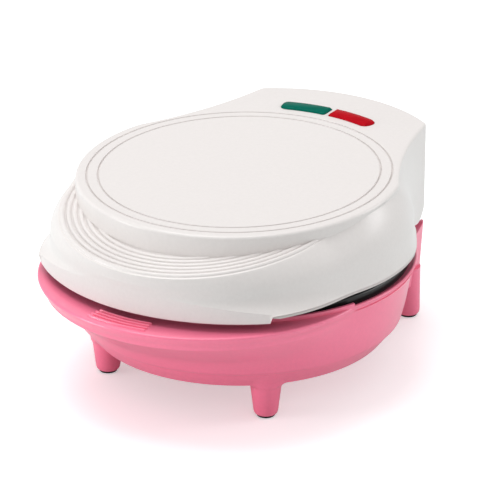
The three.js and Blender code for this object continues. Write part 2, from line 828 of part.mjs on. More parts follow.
// What is taken off the lid above the crescent, for a lid moved inwards by a distance.
function crescentCut(distance) {
  const reach = bowl.radius * 2;
  const tilt = Math.atan(crescent.slope) / degree;
  const rear = -topRadius * Math.cos(crescent.fadeStart * degree);
  const above = box([-reach, -reach, 0], [reach, rear, lid.height]).rotate([tilt, 0, 0]);
  const placed = above.translate([0, 0, lidTop - crescent.drop - distance]);
  const wall = (shift) => circle(crescentFoot - distance - shift, 0, sides.large);
  const fillet = lid.edgeFillet;
  const round = skin([
    level(wall(0), lidRim),
    underTop(wall(0), fillet + distance),
    underTop(wall(fillet * filletShare), fillet * filletShare + distance),
    underTop(wall(fillet), distance),
    underTop(wall(fillet), -lid.height),
  ]);
  return cut(placed, round);
}

// What is taken off in front of the lip.
function lipCut(radius, halfAngle) {
  const top = lidRim + lid.height / 2;
  const whole = sector(halfAngle, bowl.radius * 2, skirtBottom - overrun, top);
  return cut(whole, bar(radius, skirtBottom - overrun * 2, top + overrun, undefined, sides.large));
}

// The crescent's ridges, each ending in the round wall behind.
function crescentRidges() {
  const wallRadius = crescentFoot - lid.wall / 2;
  return Array.from({ length: crescent.ridges }, (_, i) => {
    const radius = crescentRadius - crescent.ridgeInset - crescent.ridgeSpacing * i;
    const cosine = (wallRadius ** 2 - radius ** 2 - crescent.centre ** 2) / (2 * crescent.centre * radius);
    const end = Math.acos(cosine) / degree;
    const band = (width) => arcBand(
      -crescent.centre,
      radius - width / 2,
      radius + width / 2,
      -end,
      end,
      arcSteps.ridge,
    );
    const onPlane = (points, rise) => points.map(([x, y]) => [
      x,
      y,
      lidTop - crescent.drop + crescent.slope * y + rise,
    ]);
    return skin([
      onPlane(band(crescent.ridgeWidth), -lid.wall / 2),
      onPlane(band(crescent.ridgeWidth), crescent.ridgeRise / 2),
      onPlane(band(crescent.ridgeWidth / 2), crescent.ridgeRise),
    ]);
  });
}

// A groove in the lid's top.
function grooveCut(radius) {
  const outer = topBlock(circle(radius + groove.width / 2, 0, sides.large), groove.depth, -overrun);
  const inner = topBlock(circle(radius - groove.width / 2, 0, sides.large), overrun, -overrun * 2);
  return cut(outer, inner);
}

// One lens's outline grown by a distance, on the side of -1 or 1.
function lensOutline(side, growth) {
  const middle = bowl.radius - lamp.inset;
  const outer = middle + lamp.width / 2;
  const inner = middle - lamp.width / 2;
  const near = Math.asin(lamp.gap / 2 / middle) / degree;
  const far = Math.asin(lamp.reach / outer) / degree;
  const half = fullTurn / 2;
  const [from, to] = side > 0 ? [half - far, half - near] : [half + near, half + far];
  return inset(arcBand(0, inner, outer, from, to, sides.lens), -growth);
}

const holderTop = lamp.holderDrop; // below the lid's top
const lampY = Math.sqrt((bowl.radius - lamp.inset) ** 2 - lamp.bulbPlace ** 2);
const lampScrewPlaces = [[-lamp.screwPlace, lampY], [lamp.screwPlace, lampY]];

// An upright boss that hangs from the lid's top, down to a height.
function hangingBoss([x, y], radius, bottom) {
  return bar(radius, bottom, topAt(y) - lid.wall / 2).translate([x, y, 0]);
}

// The lid's moulding: wall, lip, top, crescent, rear block, hinge cheeks and bosses.
function lidShell() {
  const reach = bowl.radius * 2;
  const cheekEnd = lid.cornerX + overrun;
  const cheek = crossBar(hinge.cheekRadius, hinge.cheekInner, cheekEnd, axisY, axisZ, sides.medium);
  const kept = joined(
    box([-reach, -reach, lidRim], [reach, reach, lidRim + reach]),
    sector(lip.halfAngle, reach, lipBottom, lidRim + overrun),
    bothSides(cheek),
  );
  const rearGap = box(
    [-hinge.cheekInner, axisY, lidRim - overrun],
    [hinge.cheekInner, reach, lidRim + lid.rearLift],
  );
  const outside = cut(
    lidSolid(0).intersect(kept),
    crescentCut(0),
    lipCut(lipRadius, lip.halfAngle),
    rearGap,
  );
  const inside = cut(
    lidSolid(lid.wall),
    crescentCut(lid.wall),
    lipCut(lipRadius - lid.wall, lip.halfAngle + lip.endWeb),
  );
  const boss = crossBar(hinge.bossRadius, bossInner, lid.cornerX, axisY, axisZ);
  const holderFace = (y) => topAt(y) - holderTop + clearance;
  const fitted = joined(
    cut(outside, inside),
    crescentRidges(),
    bothSides(boss),
    plateScrewPlaces.map((place) => hangingBoss(place, plate.bossRadius, upperTop + clearance)),
    lampScrewPlaces.map((place) => hangingBoss(place, plate.bossRadius - clearance, holderFace(place[1]))),
  );
  const hole = screw.shank + clearance;
  const slot = (side) => topBlock(lensOutline(side, clearance), lid.wall + overrun, -overrun);
  const pinEnd = bossInner + hinge.pinBite + clearance;
  const pinHole = crossBar(hinge.pinRadius + clearance, hinge.earInner, pinEnd, axisY, axisZ);
  return mainBody(cut(
    fitted,
    grooveCut(bowl.radius - groove.outerInset),
    grooveCut(bowl.radius - groove.outerInset - groove.spacing),
    slot(-1),
    slot(1),
    bothSides(pinHole),
    copies(bar(hole, upperTop - overrun, upperTop + clearance + screw.bite + clearance), plateScrewPlaces),
    lampScrewPlaces.map(([x, y]) => {
      const bottom = holderFace(y) - overrun;
      return bar(hole, bottom, holderFace(y) + screw.bite).translate([x, y, 0]);
    }),
  ));
}

// Baking plates

// The inside of a cup below a mouth at height zero.
function cupHollow(depth) {
  const floor = cupRadius - plate.cupTaper;
  return turned(
    [
      [0, -depth],
      [floor - plate.cupRound, -depth],
      [floor, plate.cupRound - depth],
      [cupRadius, 0],
      [cupRadius, overrun],
      [0, overrun],
    ],
    sides.cup,
  );
}

// The outside of a cup below a mouth at height zero.
function cupBulk(depth) {
  const floor = cupRadius - plate.cupTaper + plate.cupWall;
  const bottom = -depth - plate.cupWall;
  return turned(
    [
      [0, bottom],
      [floor - plate.cupRound, bottom],
      [floor, bottom + plate.cupRound],
      [cupRadius + plate.cupWall, -plate.web / 2],
      [0, -plate.web / 2],
    ],
    sides.cup,
  );
}

// A baking plate with its face at height zero, its cups and its rolled rim below.
function plateSolid(depth, bossDepth) {
  const inner = plateRadius - plate.rimThickness;
  const rim = turned(
    [
      [0, -plate.web],
      [inner, -plate.web],
      [inner, -plate.rimHeight],
      [plateRadius - plate.rimRound / 2, -plate.rimHeight],
      [plateRadius, plate.rimRound / 2 - plate.rimHeight],
      [plateRadius, -plate.rimRound],
      [plateRadius - plate.rimRound * filletShare, -plate.rimRound * filletShare],
      [plateRadius - plate.rimRound, 0],
      [0, 0],
    ],
    sides.large,
  );
  const whole = joined(
    rim,
    copies(cupBulk(depth), cupPlaces),
    copies(bar(plate.bossRadius, -plate.rimHeight, -plate.web / 2), plateScrewPlaces),
    copies(bar(plate.bossRadius, -bossDepth, -plate.web / 2), shieldScrewPlaces),
  );
  const hole = bar(screw.shank + clearance, -bossDepth - overrun, screw.bite - bossDepth);
  return cut(whole, copies(cupHollow(depth), cupPlaces), copies(hole, shieldScrewPlaces));
}

// The lower plate, face up.
function lowerPlate() {
  const bossDepth = lowerTop - lowerShieldTop - clearance;
  const hole = bar(screw.shank + clearance, -plate.rimHeight - overrun, -plate.web);
  const whole = cut(plateSolid(plate.cupDepth, bossDepth), copies(hole, plateScrewPlaces));
  return whole.translate([0, 0, lowerTop]);
}

// The upper plate, face down, with countersunk holes for its screws.
function upperPlate() {
  const bossDepth = upperShieldBottom - upperBottom - clearance;
  const turnedOver = plateSolid(plate.domeDepth, bossDepth).mirror([0, 0, 1]);
  const through = bar(screw.shank + clearance, -overrun, plate.rimHeight + overrun);
  const seat = bar(screw.head + clearance, -overrun, screw.headHeight + clearance);
  return cut(
    turnedOver,
    copies(through, plateScrewPlaces),
    copies(seat, plateScrewPlaces),
  ).translate([0, 0, upperBottom]);
}

// Inner pieces

// A heating element's path round the bowl's axis, with two tails at the rear.
function elementGeometry() {
  const points = [];
  const tail = (side) => [
    [side * element.tail, cupPitch + element.tailEnd, 0],
    [side * element.tail, cupPitch + element.bend, 0],
  ];
  points.push(...tail(1));
  const first = fullTurn / 2 - element.gapAngle;
  const steps = arcSteps.element;
  for (let i = 0; i <= steps; i++) {
    points.push([...polar(first - (2 * first * i) / steps, cupPitch), 0]);
  }
  points.push(...tail(-1).reverse());
  return tube(points, element.tube, sides.large);
}

// A heat shield: a dish with a rim that stands up from its floor.
function shieldSolid() {
  const floor = shield.thickness;
  return cut(
    turned(
      [
        [0, 0],
        [shieldRadius, 0],
        [shieldRadius, shield.rim],
        [shieldRadius - floor, shield.rim],
        [shieldRadius - floor, floor],
        [0, floor],
      ],
      sides.medium,
    ),
    copies(bar(screw.shank + clearance, -overrun, overrun), shieldScrewPlaces),
  );
}

// The bottom cover with its slots.
function coverSolid() {
  const plain = bar(coverRadius, 0, cover.thickness, undefined, sides.medium);
  const slots = Array.from({ length: cover.slots }, (_, i) => {
    const x = (i - (cover.slots - 1) / 2) * cover.slotPitch;
    return box(
      [x - cover.slotWidth / 2, -cover.slotLength / 2, -overrun],
      [x + cover.slotWidth / 2, cover.slotLength / 2, cover.thickness + overrun],
    );
  });
  const hole = bar(screw.shank + clearance, -overrun, cover.thickness + overrun);
  return cut(plain, slots, copies(hole, coverScrewPlaces));
}

// A screw whose head's face is at height zero, with its shank below.
function screwGeometry(length) {
  const body = joined(
    bar(screw.head, 0, screw.headHeight, screw.headTop, sides.bolt),
    bar(screw.shank, -length, screw.headHeight / 2, undefined, sides.bolt),
  );
  const bottom = screw.headHeight - screw.slotDepth;
  const top = screw.headHeight + overrun;
  const slot = box([-screw.head, -screw.slot / 2, bottom], [screw.head, screw.slot / 2, top]);
  return geometryOf(cut(body, slot));
}

// A rubber foot with its stem.
function footGeometry() {
  const top = leg.tipHeight - clearance;
  const body = bar(foot.radius, 0, top, undefined, sides.cup);
  return geometryOf(joined(body, bar(foot.stemRadius, top / 2, top + foot.stemHeight)));
}

// A hinge pin along X from its head, on the right side.
function pinSolid() {
  const headEnd = hinge.earInner - clearance;
  const end = bossInner + hinge.pinBite;
  return joined(
    crossBar(hinge.headRadius, headEnd - hinge.head, headEnd, axisY, axisZ),
    crossBar(hinge.pinRadius, headEnd - hinge.head / 2, end, axisY, axisZ),
  );
}

// A lens with its flange under the lid's top.
function lensSolid(side) {
  const face = inset(lensOutline(side, 0), lamp.chamfer);
  const flangeTop = lid.wall + clearance;
  return joined(
    skin([
      underTop(lensOutline(side, 0), flangeTop + lamp.flange / 2),
      underTop(lensOutline(side, 0), lamp.chamfer - lamp.rise),
      underTop(face, -lamp.rise),
    ]),
    topBlock(lensOutline(side, lamp.flange), flangeTop + lamp.flange, flangeTop),
  );
}

// The tray that holds the two lamps under the lenses.
function holderSolid() {
  const low = holderTop + lamp.holderThickness;
  const width = lamp.width / 2;
  const outline = (reach, depth) => [
    [-reach, lampY - depth],
    [reach, lampY - depth],
    [reach, lampY + depth],
    [-reach, lampY + depth],
  ];
  const tray = topBlock(outline(lamp.reach, width), low, holderTop - lamp.holderWall);
  const inner = outline(lamp.reach - lamp.holderThickness, width - lamp.holderThickness);
  const pads = topBlock(outline(lamp.screwPlace + lamp.padRadius, lamp.padRadius), low, holderTop);
  const hollow = topBlock(inner, holderTop, holderTop - lamp.holderWall - overrun);
  const holes = lampScrewPlaces.map(([x, y]) => {
    const middle = topAt(y) - holderTop;
    return bar(screw.shank + clearance, middle - overrun, middle + overrun).translate([x, y, 0]);
  });
  return cut(joined(tray, pads), hollow, holes);
}

// The cord's gland, along Y, with its bore.
function glandSolid() {
  const start = gland.flange + housing.wall * 2;
  const body = joined(
    bar(gland.flangeRadius, 0, gland.flange, undefined, sides.cup),
    bar(gland.radius, -start, gland.flange / 2, undefined, sides.cup),
  );
  const bore = bar(gland.bore, -start - overrun, gland.flange + overrun);
  return onRearWall(cut(body, bore), glandY - gland.seat + clearance);
}

// The block that joins the cord's leads, with a hole for each pole's screw.
function blockGeometry() {
  const [x, y] = [block.length / 2, block.depth / 2];
  const body = box([-x, -y, 0], [x, y, block.height]);
  const places = Array.from({ length: block.poles }, (_, i) => [
    (i - (block.poles - 1) / 2) * block.pitch,
    0,
  ]);
  const hole = bar(block.hole, block.height - block.holeDepth, block.height + overrun);
  return geometryOf(cut(body, copies(hole, places)));
}

// The thermostat, with its flange at height zero and its body below.
function thermostatGeometry() {
  return geometryOf(joined(
    bar(thermostat.flangeRadius, -thermostat.flange, 0, undefined, sides.cup),
    bar(thermostat.radius, -thermostat.height, -thermostat.flange / 2, undefined, sides.cup),
  ));
}

// Meshes

// A named mesh with its own material, at a place.
function mesh(name, geometry, material, place = [0, 0, 0]) {
  const piece = new THREE.Mesh(geometry, new THREE.MeshStandardMaterial(material));
  piece.name = name;
  piece.position.set(...place);
  return piece;
}

const base = new THREE.Group();
base.add(mesh("base_shell", geometryOf(baseShell()), pink));
base.add(mesh("bottom_cover", geometryOf(coverSolid()), pink, [0, 0, bowl.underside]));
["front_left", "rear_left", "front_right", "rear_right"].forEach((name, i) => {
  base.add(mesh(`${name}_foot`, footGeometry(), rubber, [legPlaces[i].x, legPlaces[i].y, 0]));
});
base.add(mesh("lower_baking_plate", geometryOf(lowerPlate()), nonStick));
base.add(mesh("lower_heating_element", elementGeometry(), sheath, [0, 0, lowerElementTop - element.tube]));
const lowerShieldBottom = lowerShieldTop - shield.thickness;
base.add(mesh("lower_heat_shield", geometryOf(shieldSolid()), steel, [0, 0, lowerShieldBottom]));
base.add(mesh("thermostat", thermostatGeometry(), ceramic, [0, 0, lowerShieldBottom - clearance]));
const fuseBody = crossBar(fuse.radius, -fuse.length / 2, fuse.length / 2, 0, 0);
const fuseZ = lowerShieldBottom - clearance - fuse.radius;
base.add(mesh("thermal_fuse", geometryOf(fuseBody), sleeve, [0, -fuse.place, fuseZ]));
const blockZ = bowl.underside + housing.wall + clearance;
base.add(mesh("terminal_block", blockGeometry(), ceramic, [0, bowl.radius + block.place, blockZ]));
base.add(mesh("cord_gland", geometryOf(glandSolid()), rubber));
base.add(mesh("right_hinge_pin", geometryOf(pinSolid()), steel));
base.add(mesh("left_hinge_pin", geometryOf(pinSolid().mirror([1, 0, 0])), steel));

const lidGroup = new THREE.Group();
lidGroup.add(mesh("lid_shell", geometryOf(lidShell()), white));
lidGroup.add(mesh("upper_baking_plate", geometryOf(upperPlate()), nonStick));
const upperElementZ = upperElementBottom + element.tube;
lidGroup.add(mesh("upper_heating_element", elementGeometry(), sheath, [0, 0, upperElementZ]));
const upperShield = shieldSolid().mirror([0, 0, 1]);
const upperShieldTop = upperShieldBottom + shield.thickness;
lidGroup.add(mesh("upper_heat_shield", geometryOf(upperShield), steel, [0, 0, upperShieldTop]));
lidGroup.add(mesh("green_ready_lens", geometryOf(lensSolid(-1)), greenLens));
lidGroup.add(mesh("red_power_lens", geometryOf(lensSolid(1)), redLens));
lidGroup.add(mesh("lamp_holder", geometryOf(holderSolid()), ceramic));
const bulb = crossBar(lamp.bulbRadius, -lamp.bulbLength / 2, lamp.bulbLength / 2, 0, 0);
const bulbZ = topAt(lampY) - holderTop + clearance + lamp.bulbRadius;
lidGroup.add(mesh("green_lamp", geometryOf(bulb), glass, [-lamp.bulbPlace, lampY, bulbZ]));
lidGroup.add(mesh("red_lamp", geometryOf(bulb), glass, [lamp.bulbPlace, lampY, bulbZ]));

// A screw driven upwards at a place, with the underside of what it clamps at a height.
function screwUp(name, [x, y], height, length) {
  const piece = mesh(name, screwGeometry(length), steel, [x, y, height - clearance]);
  piece.rotation.x = Math.PI;
  return piece;
}

plateScrewPlaces.forEach((place, i) => {
  const length = tab.thickness + screw.bite / 2;
  base.add(screwUp(`lower_plate_screw_${i + 1}`, place, shelfTop - tab.thickness, length));
  const seat = upperBottom + screw.headHeight + clearance;
  const upperLength = plate.rimHeight - screw.headHeight + screw.bite;
  lidGroup.add(screwUp(`upper_plate_screw_${i + 1}`, place, seat, upperLength));
});
shieldScrewPlaces.forEach((place, i) => {
  const length = shield.thickness + screw.bite / 2;
  base.add(screwUp(`lower_shield_screw_${i + 1}`, place, lowerShieldBottom, length));
  const height = upperShieldTop + clearance;
  lidGroup.add(mesh(`upper_shield_screw_${i + 1}`, screwGeometry(length), steel, [...place, height]));
});
coverScrewPlaces.forEach((place, i) => {
  const length = cover.thickness + cover.flangeThickness + screw.bite / 2;
  base.add(screwUp(`bottom_cover_screw_${i + 1}`, place, bowl.underside, length));
});
["left", "right"].forEach((name, i) => {
  const place = lampScrewPlaces[i];
  const height = topAt(place[1]) - holderTop - lamp.holderThickness - clearance;
  const length = lamp.holderThickness + screw.bite / 2;
  lidGroup.add(screwUp(`lamp_holder_screw_${name}`, place, height, length));
});

const machine = new THREE.Group();
machine.add(base, lidGroup);
const bounds = new THREE.Box3().setFromObject(machine);
machine.position.y = -(bounds.min.y + bounds.max.y) / 2;

export default machine;
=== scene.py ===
"""The looks of a countertop cupcake maker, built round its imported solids.

Sizes are in millimetres about the bowl's axis, with the front at -Y and the hinge at +Y.
Angles are in degrees from the front, positive to the right.
"""

import logging
import math
from collections.abc import Callable, Iterable
from dataclasses import dataclass, field
from enum import Enum

import bmesh
import bpy
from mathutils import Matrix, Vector


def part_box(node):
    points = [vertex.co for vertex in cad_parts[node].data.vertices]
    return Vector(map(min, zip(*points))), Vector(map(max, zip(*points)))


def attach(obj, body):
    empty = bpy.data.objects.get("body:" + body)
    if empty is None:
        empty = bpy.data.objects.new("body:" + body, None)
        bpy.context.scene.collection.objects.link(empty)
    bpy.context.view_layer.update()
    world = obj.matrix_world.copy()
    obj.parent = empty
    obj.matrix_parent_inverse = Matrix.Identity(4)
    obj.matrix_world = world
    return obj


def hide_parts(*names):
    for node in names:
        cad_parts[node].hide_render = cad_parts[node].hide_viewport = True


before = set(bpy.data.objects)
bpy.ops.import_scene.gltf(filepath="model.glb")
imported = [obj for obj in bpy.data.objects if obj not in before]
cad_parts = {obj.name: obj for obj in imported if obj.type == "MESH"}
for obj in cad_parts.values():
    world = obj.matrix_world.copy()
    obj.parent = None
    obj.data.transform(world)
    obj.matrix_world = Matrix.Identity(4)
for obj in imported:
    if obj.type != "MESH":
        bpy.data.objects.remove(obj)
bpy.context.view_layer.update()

logging.basicConfig(level=logging.INFO, format="%(name)s: %(message)s")
log = logging.getLogger("cupcake_maker")

Plan = tuple[float, float]
Point = tuple[float, float, float]
Colour = tuple[float, float, float, float]

MM = 0.001


def axis_shift() -> float:
    """Return how far the bowl's axis lies along Y from the frame's origin, in metres."""
    low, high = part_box("lower_baking_plate")
    return (low.y + high.y) / 2


AXIS_Y = axis_shift()


# Plan geometry


def placed(point: Point) -> Vector:
    """Return a point's place in the frame, in metres."""
    x, y, z = point
    return Vector((x * MM, y * MM + AXIS_Y, z * MM))


def polar(angle: float, radius: float) -> Plan:
    """Return the plan point at an angle from the front and a distance from the axis."""
    turn = math.radians(angle)
    return radius * math.sin(turn), -radius * math.cos(turn)


def off_centre(angle: float, centre: float, radius: float) -> float:
    """Return the distance from the axis to a circle whose centre lies in front of it."""
    turn = math.radians(angle)
    return centre * math.cos(turn) + math.sqrt(radius**2 - (centre * math.sin(turn)) ** 2)


def circle(radius: float, steps: int, height: float, centre: Plan = (0.0, 0.0)) -> list[Point]:
    """Return a level circle's points, anticlockwise from the front."""
    spots = (polar(360 * i / steps, radius) for i in range(steps))
    return [(x + centre[0], y + centre[1], height) for x, y in spots]


def about(centre: Plan, radius: float, turn: float) -> Plan:
    """Return the point at a distance from a centre, turned from the first axis to the second."""
    angle = math.radians(turn)
    return centre[0] + radius * math.cos(angle), centre[1] + radius * math.sin(angle)


def quarter(turn: float, rounding: float) -> Plan:
    """Return how far a quarter round's point at an angle lies inside its two sides."""
    angle = math.radians(turn)
    return rounding * (1 - math.cos(angle)), rounding * (1 - math.sin(angle))


def inset(points: list[Point], distance: float) -> list[Point]:
    """Return an anticlockwise outline moved inwards, with its heights kept.

    Args:
        points: The outline.
        distance: How far each point moves inwards, or outwards if negative.

    Returns:
        The moved outline.
    """
    count = len(points)
    moved = []
    for i, (x, y, z) in enumerate(points):
        before, after = points[i - 1], points[(i + 1) % count]
        along = (after[0] - before[0], after[1] - before[1])
        length = math.hypot(*along) or 1.0
        moved.append((x - along[1] / length * distance, y + along[0] / length * distance, z))
    return moved


def mirrored(half: list[Point]) -> list[Point]:
    """Return a right half outline, from front to rear, with its mirror image added."""
    return half + [(-x, y, z) for x, y, z in half[-2:0:-1]]


def blend(low: float, high: float, share: float) -> float:
    """Return the value at a share of the way from one value to another."""
    return low + (high - low) * share


def smooth_share(share: float) -> float:
    """Return a share from 0 to 1 eased at both ends."""
    kept = min(1.0, max(0.0, share))
    return kept * kept * (3 - 2 * kept)


def smooth_max(a: float, b: float, width: float) -> float:
    """Return the greater of two values, rounded where they are closer than a width."""
    near = max(0.0, width - abs(a - b)) / width
    return max(a, b) + near * near * width / 4


def curve_value(pairs: tuple[tuple[float, float], ...], at: float) -> float:
    """Return the value of a smooth curve through pairs of place and value.

    Args:
        pairs: Places in rising order, each with its value.
        at: The place to read.

    Returns:
        The value there.
    """
    last = len(pairs) - 1
    i = next((k for k in range(last) if at <= pairs[k + 1][0]), last - 1)
    (x0, y0), (x1, y1) = pairs[i], pairs[i + 1]
    before, after = pairs[max(0, i - 1)], pairs[min(last, i + 2)]
    slope0 = (y1 - before[1]) / (x1 - before[0])
    slope1 = (after[1] - y0) / (after[0] - x0)
    width = x1 - x0
    t = (at - x0) / width
    h1, h2 = t * t * (3 - 2 * t), t * (1 - t) ** 2
    return y0 * (1 - h1) + y1 * h1 + (slope0 * h2 - slope1 * t * t * (1 - t)) * width


# Modelling


def clear_selection() -> None:
    """Leave nothing selected, in object mode."""
    if bpy.context.object is not None and bpy.context.object.mode != "OBJECT":
        bpy.ops.object.mode_set(mode="OBJECT")
    bpy.ops.object.select_all(action="DESELECT")


def select_only(obj: bpy.types.Object) -> None:
    """Select one object and make it the active one.

    Args:
        obj: The object.
    """
    clear_selection()
    obj.select_set(True)
    bpy.context.view_layer.objects.active = obj


def modify(obj: bpy.types.Object, kind: str, **settings: object) -> None:
    """Add a modifier to an object and apply it.

    Args:
        obj: The object to change.
        kind: The modifier's type.
        settings: The modifier's settings by name.
    """
    select_only(obj)
    modifier = obj.modifiers.new(kind.lower(), kind)
    for name, value in settings.items():
        setattr(modifier, name, value)
    bpy.ops.object.modifier_apply(modifier=modifier.name)


def carve(obj: bpy.types.Object, *tools: bpy.types.Object, operation: str = "DIFFERENCE") -> None:
    """Cut tools out of an object, or join them to it, and remove them.

    Args:
        obj: The object to change.
        tools: The objects that cut it.
        operation: The Boolean operation.
    """
    for tool in tools:
        modify(obj, "BOOLEAN", operation=operation, solver="EXACT", object=tool)
        bpy.data.objects.remove(tool)


def soften(obj: bpy.types.Object, width: float, angle: float = 35.0, segments: int = 2) -> None:
    """Round an object's edges that are sharper than an angle.

    Args:
        obj: The object.
        width: How far the rounding reaches from the edge.
        angle: The least angle.
        segments: Faces across the rounding.
    """
    modify(
        obj,
        "BEVEL",
        width=width * MM,
        segments=segments,
        limit_method="ANGLE",
        angle_limit=math.radians(angle),
        harden_normals=False,
    )


def shade(obj: bpy.types.Object, angle: float = 32.0) -> None:
    """Shade an object smooth, except across edges sharper than an angle."""
    select_only(obj)
    bpy.ops.object.shade_smooth_by_angle(angle=math.radians(angle))


class Loft:
    """A skin drawn from ring to ring, as by extruding a loop and placing it again."""

    def __init__(self, name: str, first: list[Point]) -> None:
        """Add a loop with as many points as the first ring and put it in place.

        Args:
            name: The object's name.
            first: The first ring.
        """
        clear_selection()
        bpy.ops.mesh.primitive_circle_add(vertices=len(first), radius=MM, fill_type="NOTHING")
        self.obj = bpy.context.object
        self.obj.name = name
        self.obj.data.name = name
        self.rows = 0
        bpy.ops.object.mode_set(mode="EDIT")
        bpy.ops.mesh.select_mode(type="VERT")
        bpy.ops.mesh.select_all(action="SELECT")
        mesh = bmesh.from_edit_mesh(self.obj.data)
        mesh.verts.layers.int.new("order")
        mesh.verts.layers.int.new("row")
        order = mesh.verts.layers.int["order"]
        for i, vertex in enumerate(mesh.verts):
            vertex[order] = i
        self._place(first)

    def _place(self, ring: list[Point]) -> None:
        """Put the selected loop's points on a ring.

        Args:
            ring: The ring's points.
        """
        mesh = bmesh.from_edit_mesh(self.obj.data)
        order = mesh.verts.layers.int["order"]
        row = mesh.verts.layers.int["row"]
        for vertex in mesh.verts:
            if vertex.select:
                vertex.co = placed(ring[vertex[order]])
                vertex[row] = self.rows
        bmesh.update_edit_mesh(self.obj.data, destructive=False)
        self.rows += 1

    def extend(self, rings: Iterable[list[Point]]) -> None:
        """Extrude the last loop to each ring in turn.

        Args:
            rings: The rings, in order.
        """
        for ring in rings:
            bpy.ops.mesh.extrude_edges_indiv()
            self._place(ring)

    def cap(self, row_number: int) -> None:
        """Close the loop of one row with a face.

        Args:
            row_number: The row, counted from 0.
        """
        mesh = bmesh.from_edit_mesh(self.obj.data)
        row = mesh.verts.layers.int["row"]
        for vertex in mesh.verts:
            vertex.select_set(vertex[row] == row_number)
        mesh.select_flush_mode()
        bmesh.update_edit_mesh(self.obj.data, destructive=False)
        bpy.ops.mesh.edge_face_add()

    def finished(self) -> bpy.types.Object:
        """Weld what meets, turn every face outwards and return the object.

        Returns:
            The finished object.
        """
        bpy.ops.mesh.select_all(action="SELECT")
        bpy.ops.mesh.remove_doubles(threshold=MM / 500)
        bpy.ops.mesh.normals_make_consistent(inside=False)
        bpy.ops.object.mode_set(mode="OBJECT")
        for name in ("order", "row"):
            layer = self.obj.data.attributes.get(name)
            if layer is not None:
                self.obj.data.attributes.remove(layer)
        return self.obj


def lofted(name: str, rings: list[list[Point]], capped: bool = True) -> bpy.types.Object:
    """Return a skin over rings, closed at both ends where it is capped.

    Args:
        name: The object's name.
        rings: The rings, in order.
        capped: Whether both ends get a face.

    Returns:
        The skin.
    """
    loft = Loft(name, rings[0])
    loft.extend(rings[1:])
    if capped:
        loft.cap(0)
        loft.cap(loft.rows - 1)
    return loft.finished()


def turned(
    name: str, profile: list[Plan], steps: int, centre: Plan = (0.0, 0.0)
) -> bpy.types.Object:
    """Return a turned solid about an upright axis.

    Args:
        name: The object's name.
        profile: Pairs of radius and height.
        steps: Points round the axis.
        centre: The axis's place in plan.

    Returns:
        The capped solid.
    """
    return lofted(name, [circle(radius, steps, height, centre) for radius, height in profile])


def cross_turned(name: str, profile: list[Plan], steps: int, at: Plan) -> bpy.types.Object:
    """Return a turned solid about an axis along X at a place in Y and Z.

    Args:
        name: The object's name.
        profile: Pairs of radius and X.
        steps: Points round the axis.
        at: The axis's Y and Z.

    Returns:
        The capped solid.
    """
    rings = []
    for radius, x in profile:
        spots = (polar(360 * i / steps, radius) for i in range(steps))
        rings.append([(x, at[0] + a, at[1] + b) for a, b in spots])
    return lofted(name, rings)


def slab(name: str, low: Point, high: Point) -> bpy.types.Object:
    """Return a plain block between two corners, for cutting.

    Args:
        name: The object's name.
        low: The corner with the lowest values.
        high: The opposite corner.

    Returns:
        The block.
    """
    clear_selection()
    middle = placed(tuple((a + b) / 2 for a, b in zip(low, high)))
    bpy.ops.mesh.primitive_cube_add(size=1, location=middle)
    block = bpy.context.object
    block.name = name
    block.scale = [(b - a) * MM for a, b in zip(low, high)]
    bpy.ops.object.transform_apply(location=True, rotation=True, scale=True)
    return block


def mirror_copy(obj: bpy.types.Object, name: str) -> bpy.types.Object:
    """Return a copy with a mesh of its own, mirrored to the other side of the machine.

    Args:
        obj: The object to copy.
        name: The copy's name.

    Returns:
        The copy.
    """
    select_only(obj)
    bpy.ops.object.duplicate(linked=False)
    twin = bpy.context.object
    twin.name = name
    twin.data.name = name
    bpy.ops.object.mode_set(mode="EDIT")
    bpy.ops.mesh.select_all(action="SELECT")
    bpy.ops.transform.resize(value=(-1, 1, 1), center_override=(0, 0, 0))
    bpy.ops.mesh.normals_make_consistent(inside=False)
    bpy.ops.object.mode_set(mode="OBJECT")
    return twin


def joined(name: str, pieces: list[bpy.types.Object]) -> bpy.types.Object:
    """Return several objects as one.

    Args:
        name: The whole's name.
        pieces: The objects to join.

    Returns:
        The whole.
    """
    clear_selection()
    for piece in pieces:
        piece.select_set(True)
    bpy.context.view_layer.objects.active = pieces[0]
    bpy.ops.object.join()
    whole = bpy.context.object
    whole.name = name
    whole.data.name = name
    return whole


@dataclass(frozen=True)
class Ridge:
    """A raised line along an arc, with a rounded back and faded ends.

    Attributes:
        radius: The arc's radius.
        centre_y: The arc's centre on the Y axis.
        half_angle: Half of the arc's angle.
        width: The ridge's width at its foot.
        rise: Its height above the surface.
        steps: Rings along the arc.
    """

    radius: float
    centre_y: float
    half_angle: float
    width: float
    rise: float
    steps: int = 72

    def build(self, name: str, surface: Callable[[float], float]) -> bpy.types.Object:
        """Return the ridge on a surface whose height depends on Y.

        Args:
            name: The object's name.
            surface: The surface's height at a Y.

        Returns:
            The capped ridge.
        """
        section = ((0.5, -0.5), (0.5, 0.0), (0.42, 0.55), (0.22, 0.92), (0.0, 1.0))
        section += tuple((-x, z) for x, z in section[-2::-1])
        rings = []
        for i in range(self.steps + 1):
            angle = self.half_angle * (2 * i / self.steps - 1)
            end = min(i, self.steps - i)
            size = min(1.0, 0.8 + 0.2 * end)
            ring = []
            for across, up in section:
                x, y = polar(angle, self.radius - across * self.width * size)
                y += self.centre_y
                ring.append((x, y, surface(y) + up * self.rise * (size if up > 0 else 1.0)))
            rings.append(ring)
        return lofted(name, rings)


# Finishes

GRAIN_RANGE = (0.3, 0.7)
BRUSHED_STRETCH = (0.06, 1.0, 1.0)
BUMP_STRENGTH = 0.6
COAT_ROUGHNESS = 0.2


def set_inputs(node: bpy.types.Node, values: dict[str, object]) -> None:
    """Set a node's inputs by their names."""
    for name, value in values.items():
        node.inputs[name].default_value = value


